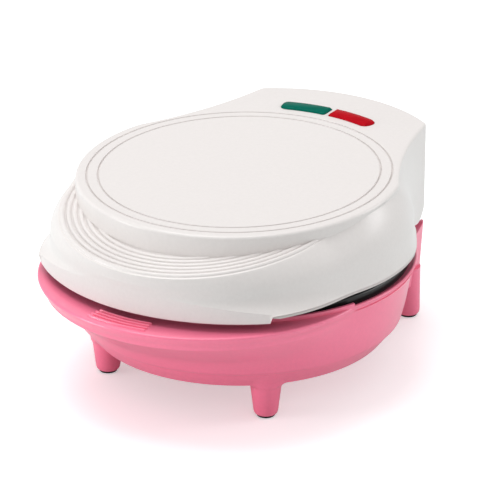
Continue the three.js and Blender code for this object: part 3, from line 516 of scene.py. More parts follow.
class Grain(Enum):
    """The fine surface that a finish shows."""

    PEEL = "moulded gloss with a faint ripple"
    SPECKLE = "sprayed coating with fine specks"
    BRUSHED = "metal with drawn lines"
    POROUS = "matt and slightly pitted"
    WOVEN = "woven sleeve"


@dataclass(frozen=True)
class Finish:
    """A material's colour, gloss and grain.

    Attributes:
        name: The material's name.
        slot: The record's material slot; not used.
        colour: Linear base colour.
        roughness: Mean roughness.
        grain: Kind of fine surface.
        metallic: Share of metal.
        scale: Grain's scale, in features per metre.
        depth: Depth of the grain's relief, in metres.
        variation: How much the colour changes over the surface.
        coat: Weight of a clear coat.
        transmission: Share of light that passes through.
        gloss: Level of the mirror-like reflection.
        wear: How much the roughness changes over the surface.
    """

    name: str
    slot: str
    colour: Colour
    roughness: float
    grain: Grain
    metallic: float = 0.0
    scale: float = 600.0
    depth: float = 0.00002
    variation: float = 0.05
    coat: float = 0.0
    transmission: float = 0.0
    gloss: float = 0.5
    wear: float = 0.12

    def _pattern(self, tree: bpy.types.NodeTree) -> bpy.types.NodeSocket:
        """Add the grain's texture and return its output.

        Args:
            tree: The material's nodes.

        Returns:
            The texture's output.
        """
        nodes, links = tree.nodes, tree.links
        place = nodes.new("ShaderNodeTexCoord")
        mapping = nodes.new("ShaderNodeMapping")
        links.new(place.outputs["Object"], mapping.inputs["Vector"])
        if self.grain is Grain.BRUSHED:
            mapping.inputs["Scale"].default_value = BRUSHED_STRETCH
        if self.grain is Grain.WOVEN:
            texture = nodes.new("ShaderNodeTexWave")
            texture.inputs["Distortion"].default_value = 1.5
        elif self.grain is Grain.POROUS:
            texture = nodes.new("ShaderNodeTexVoronoi")
        else:
            texture = nodes.new("ShaderNodeTexNoise")
            texture.inputs["Detail"].default_value = 4.0 if self.grain is Grain.SPECKLE else 1.5
        texture.inputs["Scale"].default_value = self.scale
        links.new(mapping.outputs["Vector"], texture.inputs["Vector"])
        return texture.outputs["Distance" if self.grain is Grain.POROUS else 0]

    def _varied_colour(
        self, tree: bpy.types.NodeTree, share: bpy.types.NodeSocket
    ) -> bpy.types.NodeSocket:
        """Add a ramp between a darker and a lighter tone of the colour and return its output.

        Args:
            tree: The material's nodes.
            share: The grain's value.

        Returns:
            The ramp's colour.
        """
        ramp = tree.nodes.new("ShaderNodeValToRGB")
        for stop, place, factor in zip(ramp.color_ramp.elements, GRAIN_RANGE, (-1.0, 1.0)):
            stop.position = place
            tone = (min(1.0, part * (1 + factor * self.variation)) for part in self.colour[:3])
            stop.color = (*tone, 1.0)
        tree.links.new(share, ramp.inputs[0])
        return ramp.outputs["Color"]

    def _varied_roughness(
        self, tree: bpy.types.NodeTree, share: bpy.types.NodeSocket
    ) -> bpy.types.NodeSocket:
        """Add a narrow range about the mean roughness and return its output.

        Args:
            tree: The material's nodes.
            share: The grain's value.

        Returns:
            The roughness.
        """
        spread = tree.nodes.new("ShaderNodeMapRange")
        levels = {
            "From Min": GRAIN_RANGE[0],
            "From Max": GRAIN_RANGE[1],
            "To Min": self.roughness * (1 - self.wear),
            "To Max": self.roughness * (1 + self.wear),
        }
        set_inputs(spread, levels)
        tree.links.new(share, spread.inputs["Value"])
        return spread.outputs["Result"]

    def material(self) -> bpy.types.Material:
        """Return the finish's material, made at its first use.

        Returns:
            The material.
        """
        made = bpy.data.materials.get(self.name)
        if made is not None:
            return made
        made = bpy.data.materials.new(self.name)
        made.use_nodes = True
        made.diffuse_color = self.colour
        tree = made.node_tree
        shader = tree.nodes["Principled BSDF"]
        grain = self._pattern(tree)
        colour = self._varied_colour(tree, grain)
        tree.links.new(colour, shader.inputs["Base Color"])
        tree.links.new(self._varied_roughness(tree, grain), shader.inputs["Roughness"])
        bump = tree.nodes.new("ShaderNodeBump")
        set_inputs(bump, {"Strength": BUMP_STRENGTH, "Distance": self.depth})
        tree.links.new(grain, bump.inputs["Height"])
        tree.links.new(bump.outputs["Normal"], shader.inputs["Normal"])
        levels = {
            "Metallic": self.metallic,
            "Specular IOR Level": self.gloss,
            "Coat Weight": self.coat,
            "Coat Roughness": COAT_ROUGHNESS,
            "Transmission Weight": self.transmission,
        }
        set_inputs(shader, levels)
        return made


PINK = Finish(
    "pink_gloss_shell", "pink_shell", (0.98, 0.21, 0.345, 1.0), 0.297, Grain.PEEL,
    scale=420.0, depth=0.00001, variation=0.02, coat=0.25, wear=0.03,
)
WHITE = Finish(
    "white_gloss_shell", "white_shell", (0.78, 0.745, 0.73, 1.0), 0.297, Grain.PEEL,
    scale=420.0, depth=0.00001, variation=0.012, wear=0.03,
)
NON_STICK = Finish(
    "non_stick_coating", "non_stick", (0.012, 0.012, 0.013, 1.0), 0.34, Grain.SPECKLE,
    metallic=0.1, scale=2600.0, depth=0.00003, variation=0.5,
)
RUBBER = Finish(
    "black_rubber", "rubber", (0.012, 0.012, 0.012, 1.0), 0.75, Grain.POROUS,
    scale=1500.0, depth=0.00004, variation=0.2,
)
STEEL = Finish(
    "plain_steel", "steel", (0.5, 0.51, 0.53, 1.0), 0.36, Grain.BRUSHED,
    metallic=1.0, scale=1800.0, variation=0.12,
)
SHEATH = Finish(
    "heater_sheath", "sheath", (0.16, 0.155, 0.15, 1.0), 0.55, Grain.SPECKLE,
    metallic=0.9, scale=900.0, variation=0.35,
)
GREEN_LENS = Finish(
    "green_lens_plastic", "green_lens", (0.002, 0.125, 0.088, 1.0), 0.16, Grain.PEEL,
    scale=300.0, depth=0.00001, variation=0.08, gloss=0.02,
)
RED_LENS = Finish(
    "red_lens_plastic", "red_lens", (0.44, 0.005, 0.012, 1.0), 0.16, Grain.PEEL,
    scale=300.0, depth=0.00001, variation=0.08, gloss=0.02,
)
LAMP_GLASS = Finish(
    "clear_lamp_glass", "lamp_glass", (0.8, 0.72, 0.6, 1.0), 0.08, Grain.PEEL, transmission=0.8
)
CERAMIC = Finish(
    "cream_ceramic", "ceramic", (0.72, 0.68, 0.6, 1.0), 0.6, Grain.POROUS, scale=1200.0
)
SLEEVE = Finish(
    "glass_sleeve", "sleeve", (0.62, 0.6, 0.54, 1.0), 0.85, Grain.WOVEN, scale=1400.0, variation=0.2
)


def dress(
    obj: bpy.types.Object, finish: Finish, body: str, *nodes: str, angle: float = 32.0
) -> bpy.types.Object:
    """Shade a finished piece, give it its material and fix it to a body.

    Args:
        obj: The piece.
        finish: Its finish.
        body: The body that it moves with.
        nodes: The solids that it stands for.
        angle: Edges sharper than this stay crisp.

    Returns:
        The same piece.
    """
    shade(obj, angle)
    obj.data.materials.clear()
    obj.data.materials.append(finish.material())
    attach(obj, body)
    if nodes:
        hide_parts(*nodes)
    log.info("%s: %d faces, on %s", obj.name, len(obj.data.polygons), body)
    return obj


# Sub-assemblies


@dataclass(frozen=True)
class Heights:
    """The heights and rounds that the sub-assemblies share.

    Attributes:
        radius: Outside of the bowl's rim.
        rim: The rim above the table.
        underside: The bowl's underside above the table.
        wall: Thickness of the mouldings' walls.
        lower_face: Face of the lower plate.
        upper_face: Face of the upper plate.
        lid_rim: The lid's rim.
        lid_top: The lid's top plane over the axis.
        top_slope: Rise of the top plane towards the rear.
        hinge_y: The hinge axis behind the bowl's axis.
        hinge_z: The hinge axis above the table.
        pin_bore: Radius of the bores round the hinge pins.
        flank_pulls: How the flanks of the housing and of the lid's rim are bent.
    """

    radius: float = 130.5
    rim: float = 86.0
    underside: float = 28.0
    wall: float = 2.5
    lower_face: float = 91.5
    upper_face: float = 93.5
    lid_rim: float = 97.5
    lid_top: float = 148.65
    top_slope: float = 0.0379
    hinge_y: float = 127.6
    hinge_z: float = 97.0
    pin_bore: float = 3.3
    flank_pulls: Plan = (0.287, 0.724)

    @property
    def hinge(self) -> Plan:
        """The hinge axis's place in Y and Z."""
        return self.hinge_y, self.hinge_z

    def top_at(self, y: float) -> float:
        """Return the height of the lid's top plane."""
        return self.lid_top + self.top_slope * y


HEIGHTS = Heights()


@dataclass(frozen=True)
class RearBlock:
    """The outline of a block behind the round: bent flank, rounded corner and bowed rear edge.

    Attributes:
        corner_x: The corner's place to the side.
        corner_y: The corner's place to the rear.
        rear_y: The middle of the rear edge.
        rounding: How far the corner's rounding reaches along its sides.
        split_x: Place where the rear edge has two points close together.
        flank_steps: Points along the flank.
        corner_steps: Points round the corner.
        rear_steps: Points along the rear edge's outer part and along its inner part.
    """

    corner_x: float
    corner_y: float
    rear_y: float
    rounding: float = 3.4
    split_x: float = 69.0
    flank_steps: int = 34
    corner_steps: int = 5
    rear_steps: int = 22

    def half(self, start: Plan, pulls: Plan) -> list[Plan]:
        """Return the outline from the flank's start to the middle of the rear edge.

        Args:
            start: The flank's start.
            pulls: The point that bends the flank, as shares of the way from corner to start.

        Returns:
            The points after the start.
        """
        corner = (self.corner_x, self.corner_y)
        pull = tuple(c + (s - c) * share for c, s, share in zip(corner, start, pulls))
        end = 1 - self.rounding / (2 * math.dist(corner, pull))
        points = []
        for i in range(1, self.flank_steps + 1):
            t = end * i / self.flank_steps
            points.append(self._bent(start, pull, corner, t))
        bow = self.rear_y - self.corner_y
        radius = (self.corner_x**2 + bow**2) / (2 * bow)
        first_x = self.corner_x - self.rounding * 0.83

        def rear(x: float) -> Plan:
            """Return the rear edge's point at a place to the side."""
            return x, self.rear_y - radius + math.sqrt(radius**2 - x**2)

        flank_end, rear_start = points[-1], rear(first_x)
        for i in range(1, self.corner_steps + 1):
            points.append(self._bent(flank_end, corner, rear_start, i / (self.corner_steps + 1)))
        points.append(rear_start)
        points.append(rear(self.split_x + 0.05))
        for i in range(self.rear_steps + 1):
            points.append(rear((self.split_x - 0.05) * (1 - i / self.rear_steps)))
        return points

    @staticmethod
    def _bent(start: Plan, pull: Plan, end: Plan, t: float) -> Plan:
        """Return a point of the curve from start to end that is pulled towards a point.

        Args:
            start: The curve's start.
            pull: The point that bends it.
            end: The curve's end.
            t: The place along the curve, from 0 to 1.

        Returns:
            The point.
        """
        weights = ((1 - t) ** 2, 2 * t * (1 - t), t**2)
        points = (start, pull, end)
        return tuple(sum(w * p[axis] for w, p in zip(weights, points)) for axis in (0, 1))


@dataclass
class Lid:
    """The lid's moulding: flared wall, lip, round raised top, ribbed crescent and rear block."""

    wall: float = 2.6
    rim_centre: float = 40.0
    rim_circle: float = 121.5
    belly_centre: float = 26.4
    belly_circle: float = 121.2
    side_radius: float = 128.5
    top_radius: float = 118.0
    crescent_centre: float = 41.0
    crescent_circle: float = 106.5
    crescent_slope: float = 0.17
    crescent_drop: float = 2.35
    fade: tuple[float, float] = (72.0, 95.0)
    flare_height: float = 13.0
    flare_power: float = 2.2
    shoulder_foot: float = 16.5
    shoulder_power: float = 1.75
    fillet: float = 2.2
    meeting: float = 4.0
    lip_radius: float = 146.7
    lip_angle: float = 41.6
    lip_drop: float = 5.5
    flank_angles: tuple[float, float] = (126.0, 107.5)
    rim_pulls: Plan = HEIGHTS.flank_pulls
    top_pulls: Plan = (0.221, 0.535)
    valley_rounds: int = 40
    valley_reach: int = 7
    rear_lift: float = 1.5
    cheek_radius: float = 17.5
    cheek_inner: float = 69.0
    groove_radii: tuple[float, ...] = (110.0, 101.7)
    groove_width: float = 1.6
    groove_depth: float = 1.8
    ridges: int = 6
    ridge_inset: float = 3.4
    ridge_spacing: float = 4.4
    ridge_width: float = 3.6
    ridge_rise: float = 1.7
    ridge_lift: float = 0.4
    ridge_sink: float = 0.8
    boss_radius: float = 8.0
    boss_span: Plan = (59.7, 72.0)
    block: RearBlock = field(default_factory=lambda: RearBlock(73.0, 144.0, 166.1))
    flare_levels: tuple[int, int] = (5, 6)
    shoulder_levels: int = 14
    rear_steps: int = 8
    edge_round: float = 0.6

    def front_angles(self) -> list[float]:
        """Return the angles of the outline's round part, with two at the lip's end.

        Returns:
            The angles in rising order, from 0 to 90.
        """
        step, nudge = 2.0, 0.35
        angles = [step * i for i in range(int(90 / step) + 1)]
        kept = [a for a in angles if abs(a - self.lip_angle) > step / 3]
        return sorted([*kept, self.lip_angle - nudge, self.lip_angle + nudge])

    def radii(self, angle: float) -> tuple[float, float, float]:
        """Return the radii at the rim, at the wall's middle and at the shoulder's top.

        Args:
            angle: The angle from the front.

        Returns:
            The three radii.
        """
        rim = off_centre(angle, self.rim_centre, self.rim_circle)
        middle = off_centre(angle, self.belly_centre, self.belly_circle)
        edge = off_centre(angle, self.crescent_centre, self.crescent_circle)
        rear = smooth_share((angle - 90.0) / 15.0)
        return (
            blend(smooth_max(rim, HEIGHTS.radius, self.meeting), HEIGHTS.radius, rear),
            blend(smooth_max(middle, self.side_radius, self.meeting), self.side_radius, rear),
            max(edge, self.top_radius),
        )

    def crease_share(self, angle: float) -> float:
        """Return where the lip's face meets the flare, as a share of the flare's height.

        Args:
            angle: The angle from the front.

        Returns:
            The share.
        """
        if angle > self.lip_angle:
            return 0.1
        rim, middle, _ = self.radii(angle)
        share = max(0.001, (self.lip_radius - middle) / (rim - middle))
        return 1 - share ** (1 / self.flare_power)

    def crescent_height(self, y: float) -> float:
        """Return the height of the crescent's plane."""
        return HEIGHTS.lid_top - self.crescent_drop + self.crescent_slope * y

    def shoulder_top(self, angle: float, y: float) -> float:
        """Return the height of the shoulder's top at an angle and a place.

        Args:
            angle: The angle from the front.
            y: The place's Y.

        Returns:
            The height.
        """
        high = HEIGHTS.top_at(y) - self.fillet * 1.5
        share = (angle - self.fade[0]) / (self.fade[1] - self.fade[0])
        return blend(self.crescent_height(y), high, smooth_share(share))

    def bottom_at(self, angle: float, x: float, y: float, on_block: bool) -> float:
        """Return the height of the wall's lower edge at a point of the outline.

        Args:
            angle: The angle from the front.
            x: The point's X.
            y: The point's Y.
            on_block: Whether the point is on the rear block.

        Returns:
            The height.
        """
        if not on_block:
            return HEIGHTS.lid_rim - (self.lip_drop if angle < self.lip_angle else 0.0)
        reach = y - HEIGHTS.hinge_y
        if abs(x) > self.cheek_inner and abs(reach) < self.cheek_radius:
            drop = math.sqrt(self.cheek_radius**2 - reach**2)
            return min(HEIGHTS.lid_rim, HEIGHTS.hinge_z - drop)
        if abs(x) < self.cheek_inner:
            return HEIGHTS.lid_rim + self.rear_lift
        return HEIGHTS.lid_rim

    def ring(
        self,
        share: float,
        radius_of: Callable[[float], float],
        height_of: Callable[[float, float, float, bool], float],
    ) -> list[Point]:
        """Return one ring of the wall.

        Args:
            share: The ring's place between rim and top, which bends the flank.
            radius_of: The radius at an angle, on the round part.
            height_of: The height from the angle, X, Y and whether the point is on the block.

        Returns:
            The whole ring, anticlockwise from the front.
        """
        start_angle = blend(*self.flank_angles, share)
        steps = self.rear_steps
        rear = [blend(90.0, start_angle, i / steps) for i in range(1, steps + 1)]
        half: list[Point] = []
        for angle in [*self.front_angles(), *rear]:
            x, y = polar(angle, radius_of(angle))
            half.append((x, y, height_of(angle, x, y, False)))
        valley = len(half) - 1
        pulls = tuple(blend(a, b, share) for a, b in zip(self.rim_pulls, self.top_pulls))
        for x, y in self.block.half(half[-1][:2], pulls):
            half.append((x, y, height_of(start_angle, x, y, True)))
        return mirrored(self.eased(half, valley, share))

    def eased(self, half: list[Point], valley: int, share: float) -> list[Point]:
        """Return a half outline with its valley eased in plan, less towards the top.

        Args:
            half: The outline's right half.
            valley: The point where the flank leaves the round wall.
            share: The ring's place between rim and top.

        Returns:
            The outline with the same heights.
        """
        points = list(half)
        rounds = round(self.valley_rounds * (1 - share) ** 0.8)
        for step in range(rounds):
            reach = max(1, round(self.valley_reach * (1 - step / self.valley_rounds)))
            before = list(points)
            for i in range(valley - reach // 2, valley + reach + 1):
                x = (before[i - 1][0] + 2 * before[i][0] + before[i + 1][0]) / 4
                y = (before[i - 1][1] + 2 * before[i][1] + before[i + 1][1]) / 4
                points[i] = (x, y, before[i][2])
        return points

    def clipped(self, angle: float, radius: float) -> float:
        """Return a wall's radius, held to the lip's face within the lip."""
        return min(radius, self.lip_radius) if angle < self.lip_angle else radius

    def wall_rings(self) -> list[list[Point]]:
        """Return the rings from the lower edge to the shoulder's top.

        Returns:
            The rings, in order.
        """
        rings = []
        edge_round = self.edge_round

        def flare_share(angle: float, level: int) -> float:
            """Return a flare level's height as a share of the flare's.

            Args:
                angle: The angle from the front.
                level: The level, from 0 at the rim.

            Returns:
                The share.
            """
            crease = self.crease_share(angle)
            below, above = self.flare_levels
            if level <= below:
                return crease * level / below
            return blend(crease, 1.0, (level - below) / above)

        def flare_radius(angle: float, level: int) -> float:
            """Return the wall's radius at an angle and a flare level.

            Args:
                angle: The angle from the front.
                level: The level, from 0 at the rim.

            Returns:
                The radius.
            """
            rim, middle, _ = self.radii(angle)
            wide = (1 - flare_share(angle, level)) ** self.flare_power
            return self.clipped(angle, blend(middle, rim, wide))

        def rim_radius(angle: float) -> float:
            """Return the rim's radius at an angle."""
            return flare_radius(angle, 0)

        bottom = self.ring(0.0, rim_radius, self.bottom_at)
        rings.append(inset(bottom, edge_round))
        rings.append([(x, y, z + edge_round) for x, y, z in bottom])
        for level in range(1, sum(self.flare_levels) + 1):
            share = flare_share(180.0, level) * self.flare_height
            share /= HEIGHTS.lid_top - HEIGHTS.lid_rim

            def height(
                angle: float, x: float, y: float, on_block: bool, level: int = level
            ) -> float:
                """Return the height of a flare level's point, clear of the lower edge.

                Args:
                    angle: The angle from the front.
                    x: The point's X.
                    y: The point's Y.
                    on_block: Whether the point is on the rear block.
                    level: The level, from 0 at the rim.

                Returns:
                    The height.
                """
                at = 180.0 if on_block else angle
                low = self.bottom_at(angle, x, y, on_block) + edge_round
                high = HEIGHTS.lid_rim + self.flare_height * flare_share(at, level)
                return max(high, low + 0.02 * level)

            def radius(angle: float, level: int = level) -> float:
                """Return a flare level's radius at an angle."""
                return flare_radius(angle, level)

            rings.append(self.ring(share, radius, height))
        foot = self.shoulder_foot / (HEIGHTS.lid_top - HEIGHTS.lid_rim)
        for level in range(self.shoulder_levels + 1):
            t = level / self.shoulder_levels

            def shoulder_radius(angle: float, t: float = t) -> float:
                """Return a shoulder level's radius at an angle."""
                _, middle, edge = self.radii(angle)
                return blend(middle, edge, t**self.shoulder_power)

            def shoulder_height(
                angle: float, x: float, y: float, on_block: bool, t: float = t
            ) -> float:
                """Return the height of a shoulder level's point.

                Args:
                    angle: The angle from the front.
                    x: The point's X.
                    y: The point's Y.
                    on_block: Whether the point is on the rear block.
                    t: The level's share of the shoulder.

                Returns:
                    The height.
                """
                edge_y = y if on_block else polar(angle, self.radii(angle)[2])[1]
                low = HEIGHTS.lid_rim + self.shoulder_foot
                return blend(low, self.shoulder_top(angle, edge_y), t)

            rings.append(self.ring(blend(foot, 1.0, t), shoulder_radius, shoulder_height))
        return rings

    def crescent_rings(self) -> list[list[Point]]:
        """Return the rings over the crescent's edge, across it and up the round wall.

        Returns:
            The rings, in order.
        """
        rings = []
        steps = ((0.3, 0.0, 0.25), (1.0, 0.0, 0.45), (0.0, 1.0, 0.45), (0.0, 0.0, 1.1))
        for from_edge, from_wall, lift in steps:

            def radius(angle: float, a: float = from_edge, b: float = from_wall) -> float:
                """Return a radius measured inwards from the edge or outwards from the wall.

                Args:
                    angle: The angle from the front.
                    a: The distance inwards from the edge, or 0.
                    b: The distance outwards from the wall.

                Returns:
                    The radius.
                """
                edge = self.radii(angle)[2]
                width = edge - self.top_radius
                if a > 0:
                    return edge - min(a, width * 0.3)
                return self.top_radius + min(b, width * 0.3)

            def height(
                angle: float, x: float, y: float, on_block: bool, lift: float = lift
            ) -> float:
                """Return the height of a crescent ring's point.

                Args:
                    angle: The angle from the front.
                    x: The point's X.
                    y: The point's Y.
                    on_block: Whether the point is on the rear block.
                    lift: The height above the crescent.

                Returns:
                    The height.
                """
                if on_block:
                    return self.shoulder_top(angle, y) + lift
                edge_y = polar(angle, self.radii(angle)[2])[1]
                change = self.shoulder_top(angle, edge_y) - self.crescent_height(edge_y)
                return self.crescent_height(y) + change + lift

            rings.append(self.ring(1.0, radius, height))
        return rings

    def top_rings(self) -> list[list[Point]]:
        """Return the rings over the top's rounded edge and across its grooves.

        Returns:
            The rings, in order.
        """

        def top_height(angle: float, x: float, y: float, on_block: bool) -> float:
            """Return the top plane's height at a point."""
            return HEIGHTS.top_at(y)

        edge = self.ring(1.0, lambda angle: self.top_radius, top_height)
        rings = []
        for turn in (0, 20, 40, 60, 78, 90):
            inward, drop = quarter(turn, self.fillet)
            rings.append([(x, y, HEIGHTS.top_at(y) - drop) for x, y, _ in inset(edge, inward)])
        angles = [math.degrees(math.atan2(x, -y)) for x, y, _ in rings[-1]]
        half = self.groove_width / 2
        section = ((1.0, 0.0), (0.55, 0.75), (0.0, 1.0), (-0.55, 0.75), (-1.0, 0.0))
        for radius in self.groove_radii:
            for share, depth in section:
                ring = []
                for angle in angles:
                    x, y = polar(angle, radius + share * half)
                    ring.append((x, y, HEIGHTS.top_at(y) - depth * self.groove_depth))
                rings.append(ring)
        return rings

    def build_shell(self, lenses: "Lights") -> bpy.types.Object:
        """Build the moulding with its two openings for the lenses.

        Args:
            lenses: The lenses, which cut their openings.

        Returns:
            The dressed moulding.
        """
        rings = [*self.wall_rings(), *self.crescent_rings(), *self.top_rings()]
        loft = Loft("lid_moulding", rings[0])
        loft.extend(rings[1:])
        loft.cap(loft.rows - 1)
        shell = loft.finished()
        modify(shell, "SOLIDIFY", thickness=self.wall * MM, offset=-1, use_rim=True)
        carve(shell, *lenses.cutters())
        return dress(shell, WHITE, "lid", "lid_shell", angle=28)

    def build_ridges(self) -> bpy.types.Object:
        """Build the crescent's ridges, each ending in the round wall.

        Returns:
            The dressed ridges.
        """
        made = []
        wall = self.top_radius - self.ridge_sink
        centre = self.crescent_centre

        def foot(y: float) -> float:
            """Return the height that a ridge stands on."""
            return self.crescent_height(y) + self.ridge_lift

        for i in range(self.ridges):
            radius = self.crescent_circle - self.ridge_inset - self.ridge_spacing * i
            cosine = (wall**2 - radius**2 - centre**2) / (2 * centre * radius)
            ridge = Ridge(
                radius, -centre, math.degrees(math.acos(cosine)), self.ridge_width, self.ridge_rise
            )
            made.append(ridge.build(f"lid_crescent_ridge_{i + 1}", foot))
        return dress(joined("lid_crescent_ridges", made), WHITE, "lid", "lid_shell", angle=50)

    def build_bosses(self) -> list[bpy.types.Object]:
        """Build the two bosses that turn on the hinge pins.

        Returns:
            The dressed bosses.
        """
        inner, outer = self.boss_span
        radius, edge = self.boss_radius, 0.7
        profile = [
            (HEIGHTS.pin_bore, inner), (radius - edge, inner),
            (radius, inner + edge), (radius, outer),
        ]
        right = cross_turned("lid_hinge_boss_right", profile, 48, HEIGHTS.hinge)
        left = mirror_copy(right, "lid_hinge_boss_left")
        return [dress(boss, WHITE, "lid", "lid_shell") for boss in (right, left)]

    def build(self, lenses: "Lights") -> None:
        """Build every piece of the lid's moulding.

        Args:
            lenses: The lenses, which cut their openings.
        """
        self.build_shell(lenses)
        self.build_ridges()
        self.build_bosses()


@dataclass
class Lights:
    """The two lenses behind the round top, and the gap that each sits in."""

    middle_radius: float = 125.5
    width: float = 13.0
    near: float = 1.6
    far: float = 40.0
    near_round: float = 1.8
    far_round: float = 5.6
    rise: float = 1.7
    depth: float = 2.9
    gap: float = 0.3
    corner_steps: int = 8
    side_steps: int = 16

    def outline(self, side: int) -> list[Plan]:
        """Return one lens's outline, anticlockwise, on the side of -1 or 1.

        Args:
            side: -1 for the left lens, 1 for the right one.

        Returns:
            The outline.
        """
        half = self.width / 2
        corners = (
            (self.near, -half, self.near_round, 180.0),
            (self.far, -half, self.far_round, 270.0),
            (self.far, half, self.far_round, 0.0),
            (self.near, half, self.near_round, 90.0),
        )
        flat: list[Plan] = []
        for along, across, rounding, first in corners:
            centre_u = along + (rounding if along == self.near else -rounding)
            centre_v = across + (rounding if across < 0 else -rounding)
            if flat:
                flat.extend(self._between(flat[-1], (centre_u, centre_v), rounding, first))
            for i in range(self.corner_steps + 1):
                turn = first + 90 * i / self.corner_steps
                flat.append(about((centre_u, centre_v), rounding, turn))
        points = []
        for along, across in flat:
            angle = 180 - math.degrees(along / self.middle_radius)
            points.append(polar(angle, self.middle_radius + across))
        if side < 0:
            points = [(-x, y) for x, y in points]
        area = sum(a[0] * b[1] - b[0] * a[1] for a, b in zip(points, points[1:] + points[:1]))
        return points if area > 0 else points[::-1]

    def _between(self, last: Plan, centre: Plan, rounding: float, first: float) -> list[Plan]:
        """Return points along a straight side, so that it bends with the arc.

        Args:
            last: The side's start.
            centre: The centre of the corner that it runs to.
            rounding: That corner's radius.
            first: The angle at which that corner starts.

        Returns:
            The points between, none on a short side.
        """
        end = about(centre, rounding, first)
        if abs(end[0] - last[0]) < self.width:
            return []
        shares = [i / self.side_steps for i in range(1, self.side_steps)]
        return [(blend(last[0], end[0], s), blend(last[1], end[1], s)) for s in shares]

    def rings(self, side: int, steps: Iterable[Plan]) -> list[list[Point]]:
        """Return rings that lie inside the outline and above the lid's top by given amounts.

        Args:
            side: -1 for the left lens, 1 for the right one.
            steps: Pairs of distance inwards and height above the top.

        Returns:
            The rings, in order.
        """
        outline = [(x, y, 0.0) for x, y in self.outline(side)]
        rings = []
        for inward, up in steps:
            moved = inset(outline, inward)
            rings.append([(x, y, HEIGHTS.top_at(y) + up) for x, y, _ in moved])
        return rings

    def cutters(self) -> list[bpy.types.Object]:
        """Return the solids that open the lid for the lenses."""
        steps = ((-self.gap, -8.0), (-self.gap, 4.0))
        return [lofted(f"lens_cutter_{side + 1}", self.rings(side, steps)) for side in (-1, 1)]

    def build(self) -> None:
        """Build both lenses."""
        steps = (
            (0.0, -self.depth),
            (0.0, 0.15),
            (0.15, 0.5),
            (0.95, 1.3),
            (1.2, 1.5),
            (1.5, self.rise),
        )
        for side, name, finish, node in (
            (-1, "green_lens_cap", GREEN_LENS, "green_ready_lens"),
            (1, "red_lens_cap", RED_LENS, "red_power_lens"),
        ):
            lens = lofted(name, self.rings(side, steps))
            dress(lens, finish, "lid", node, angle=50)


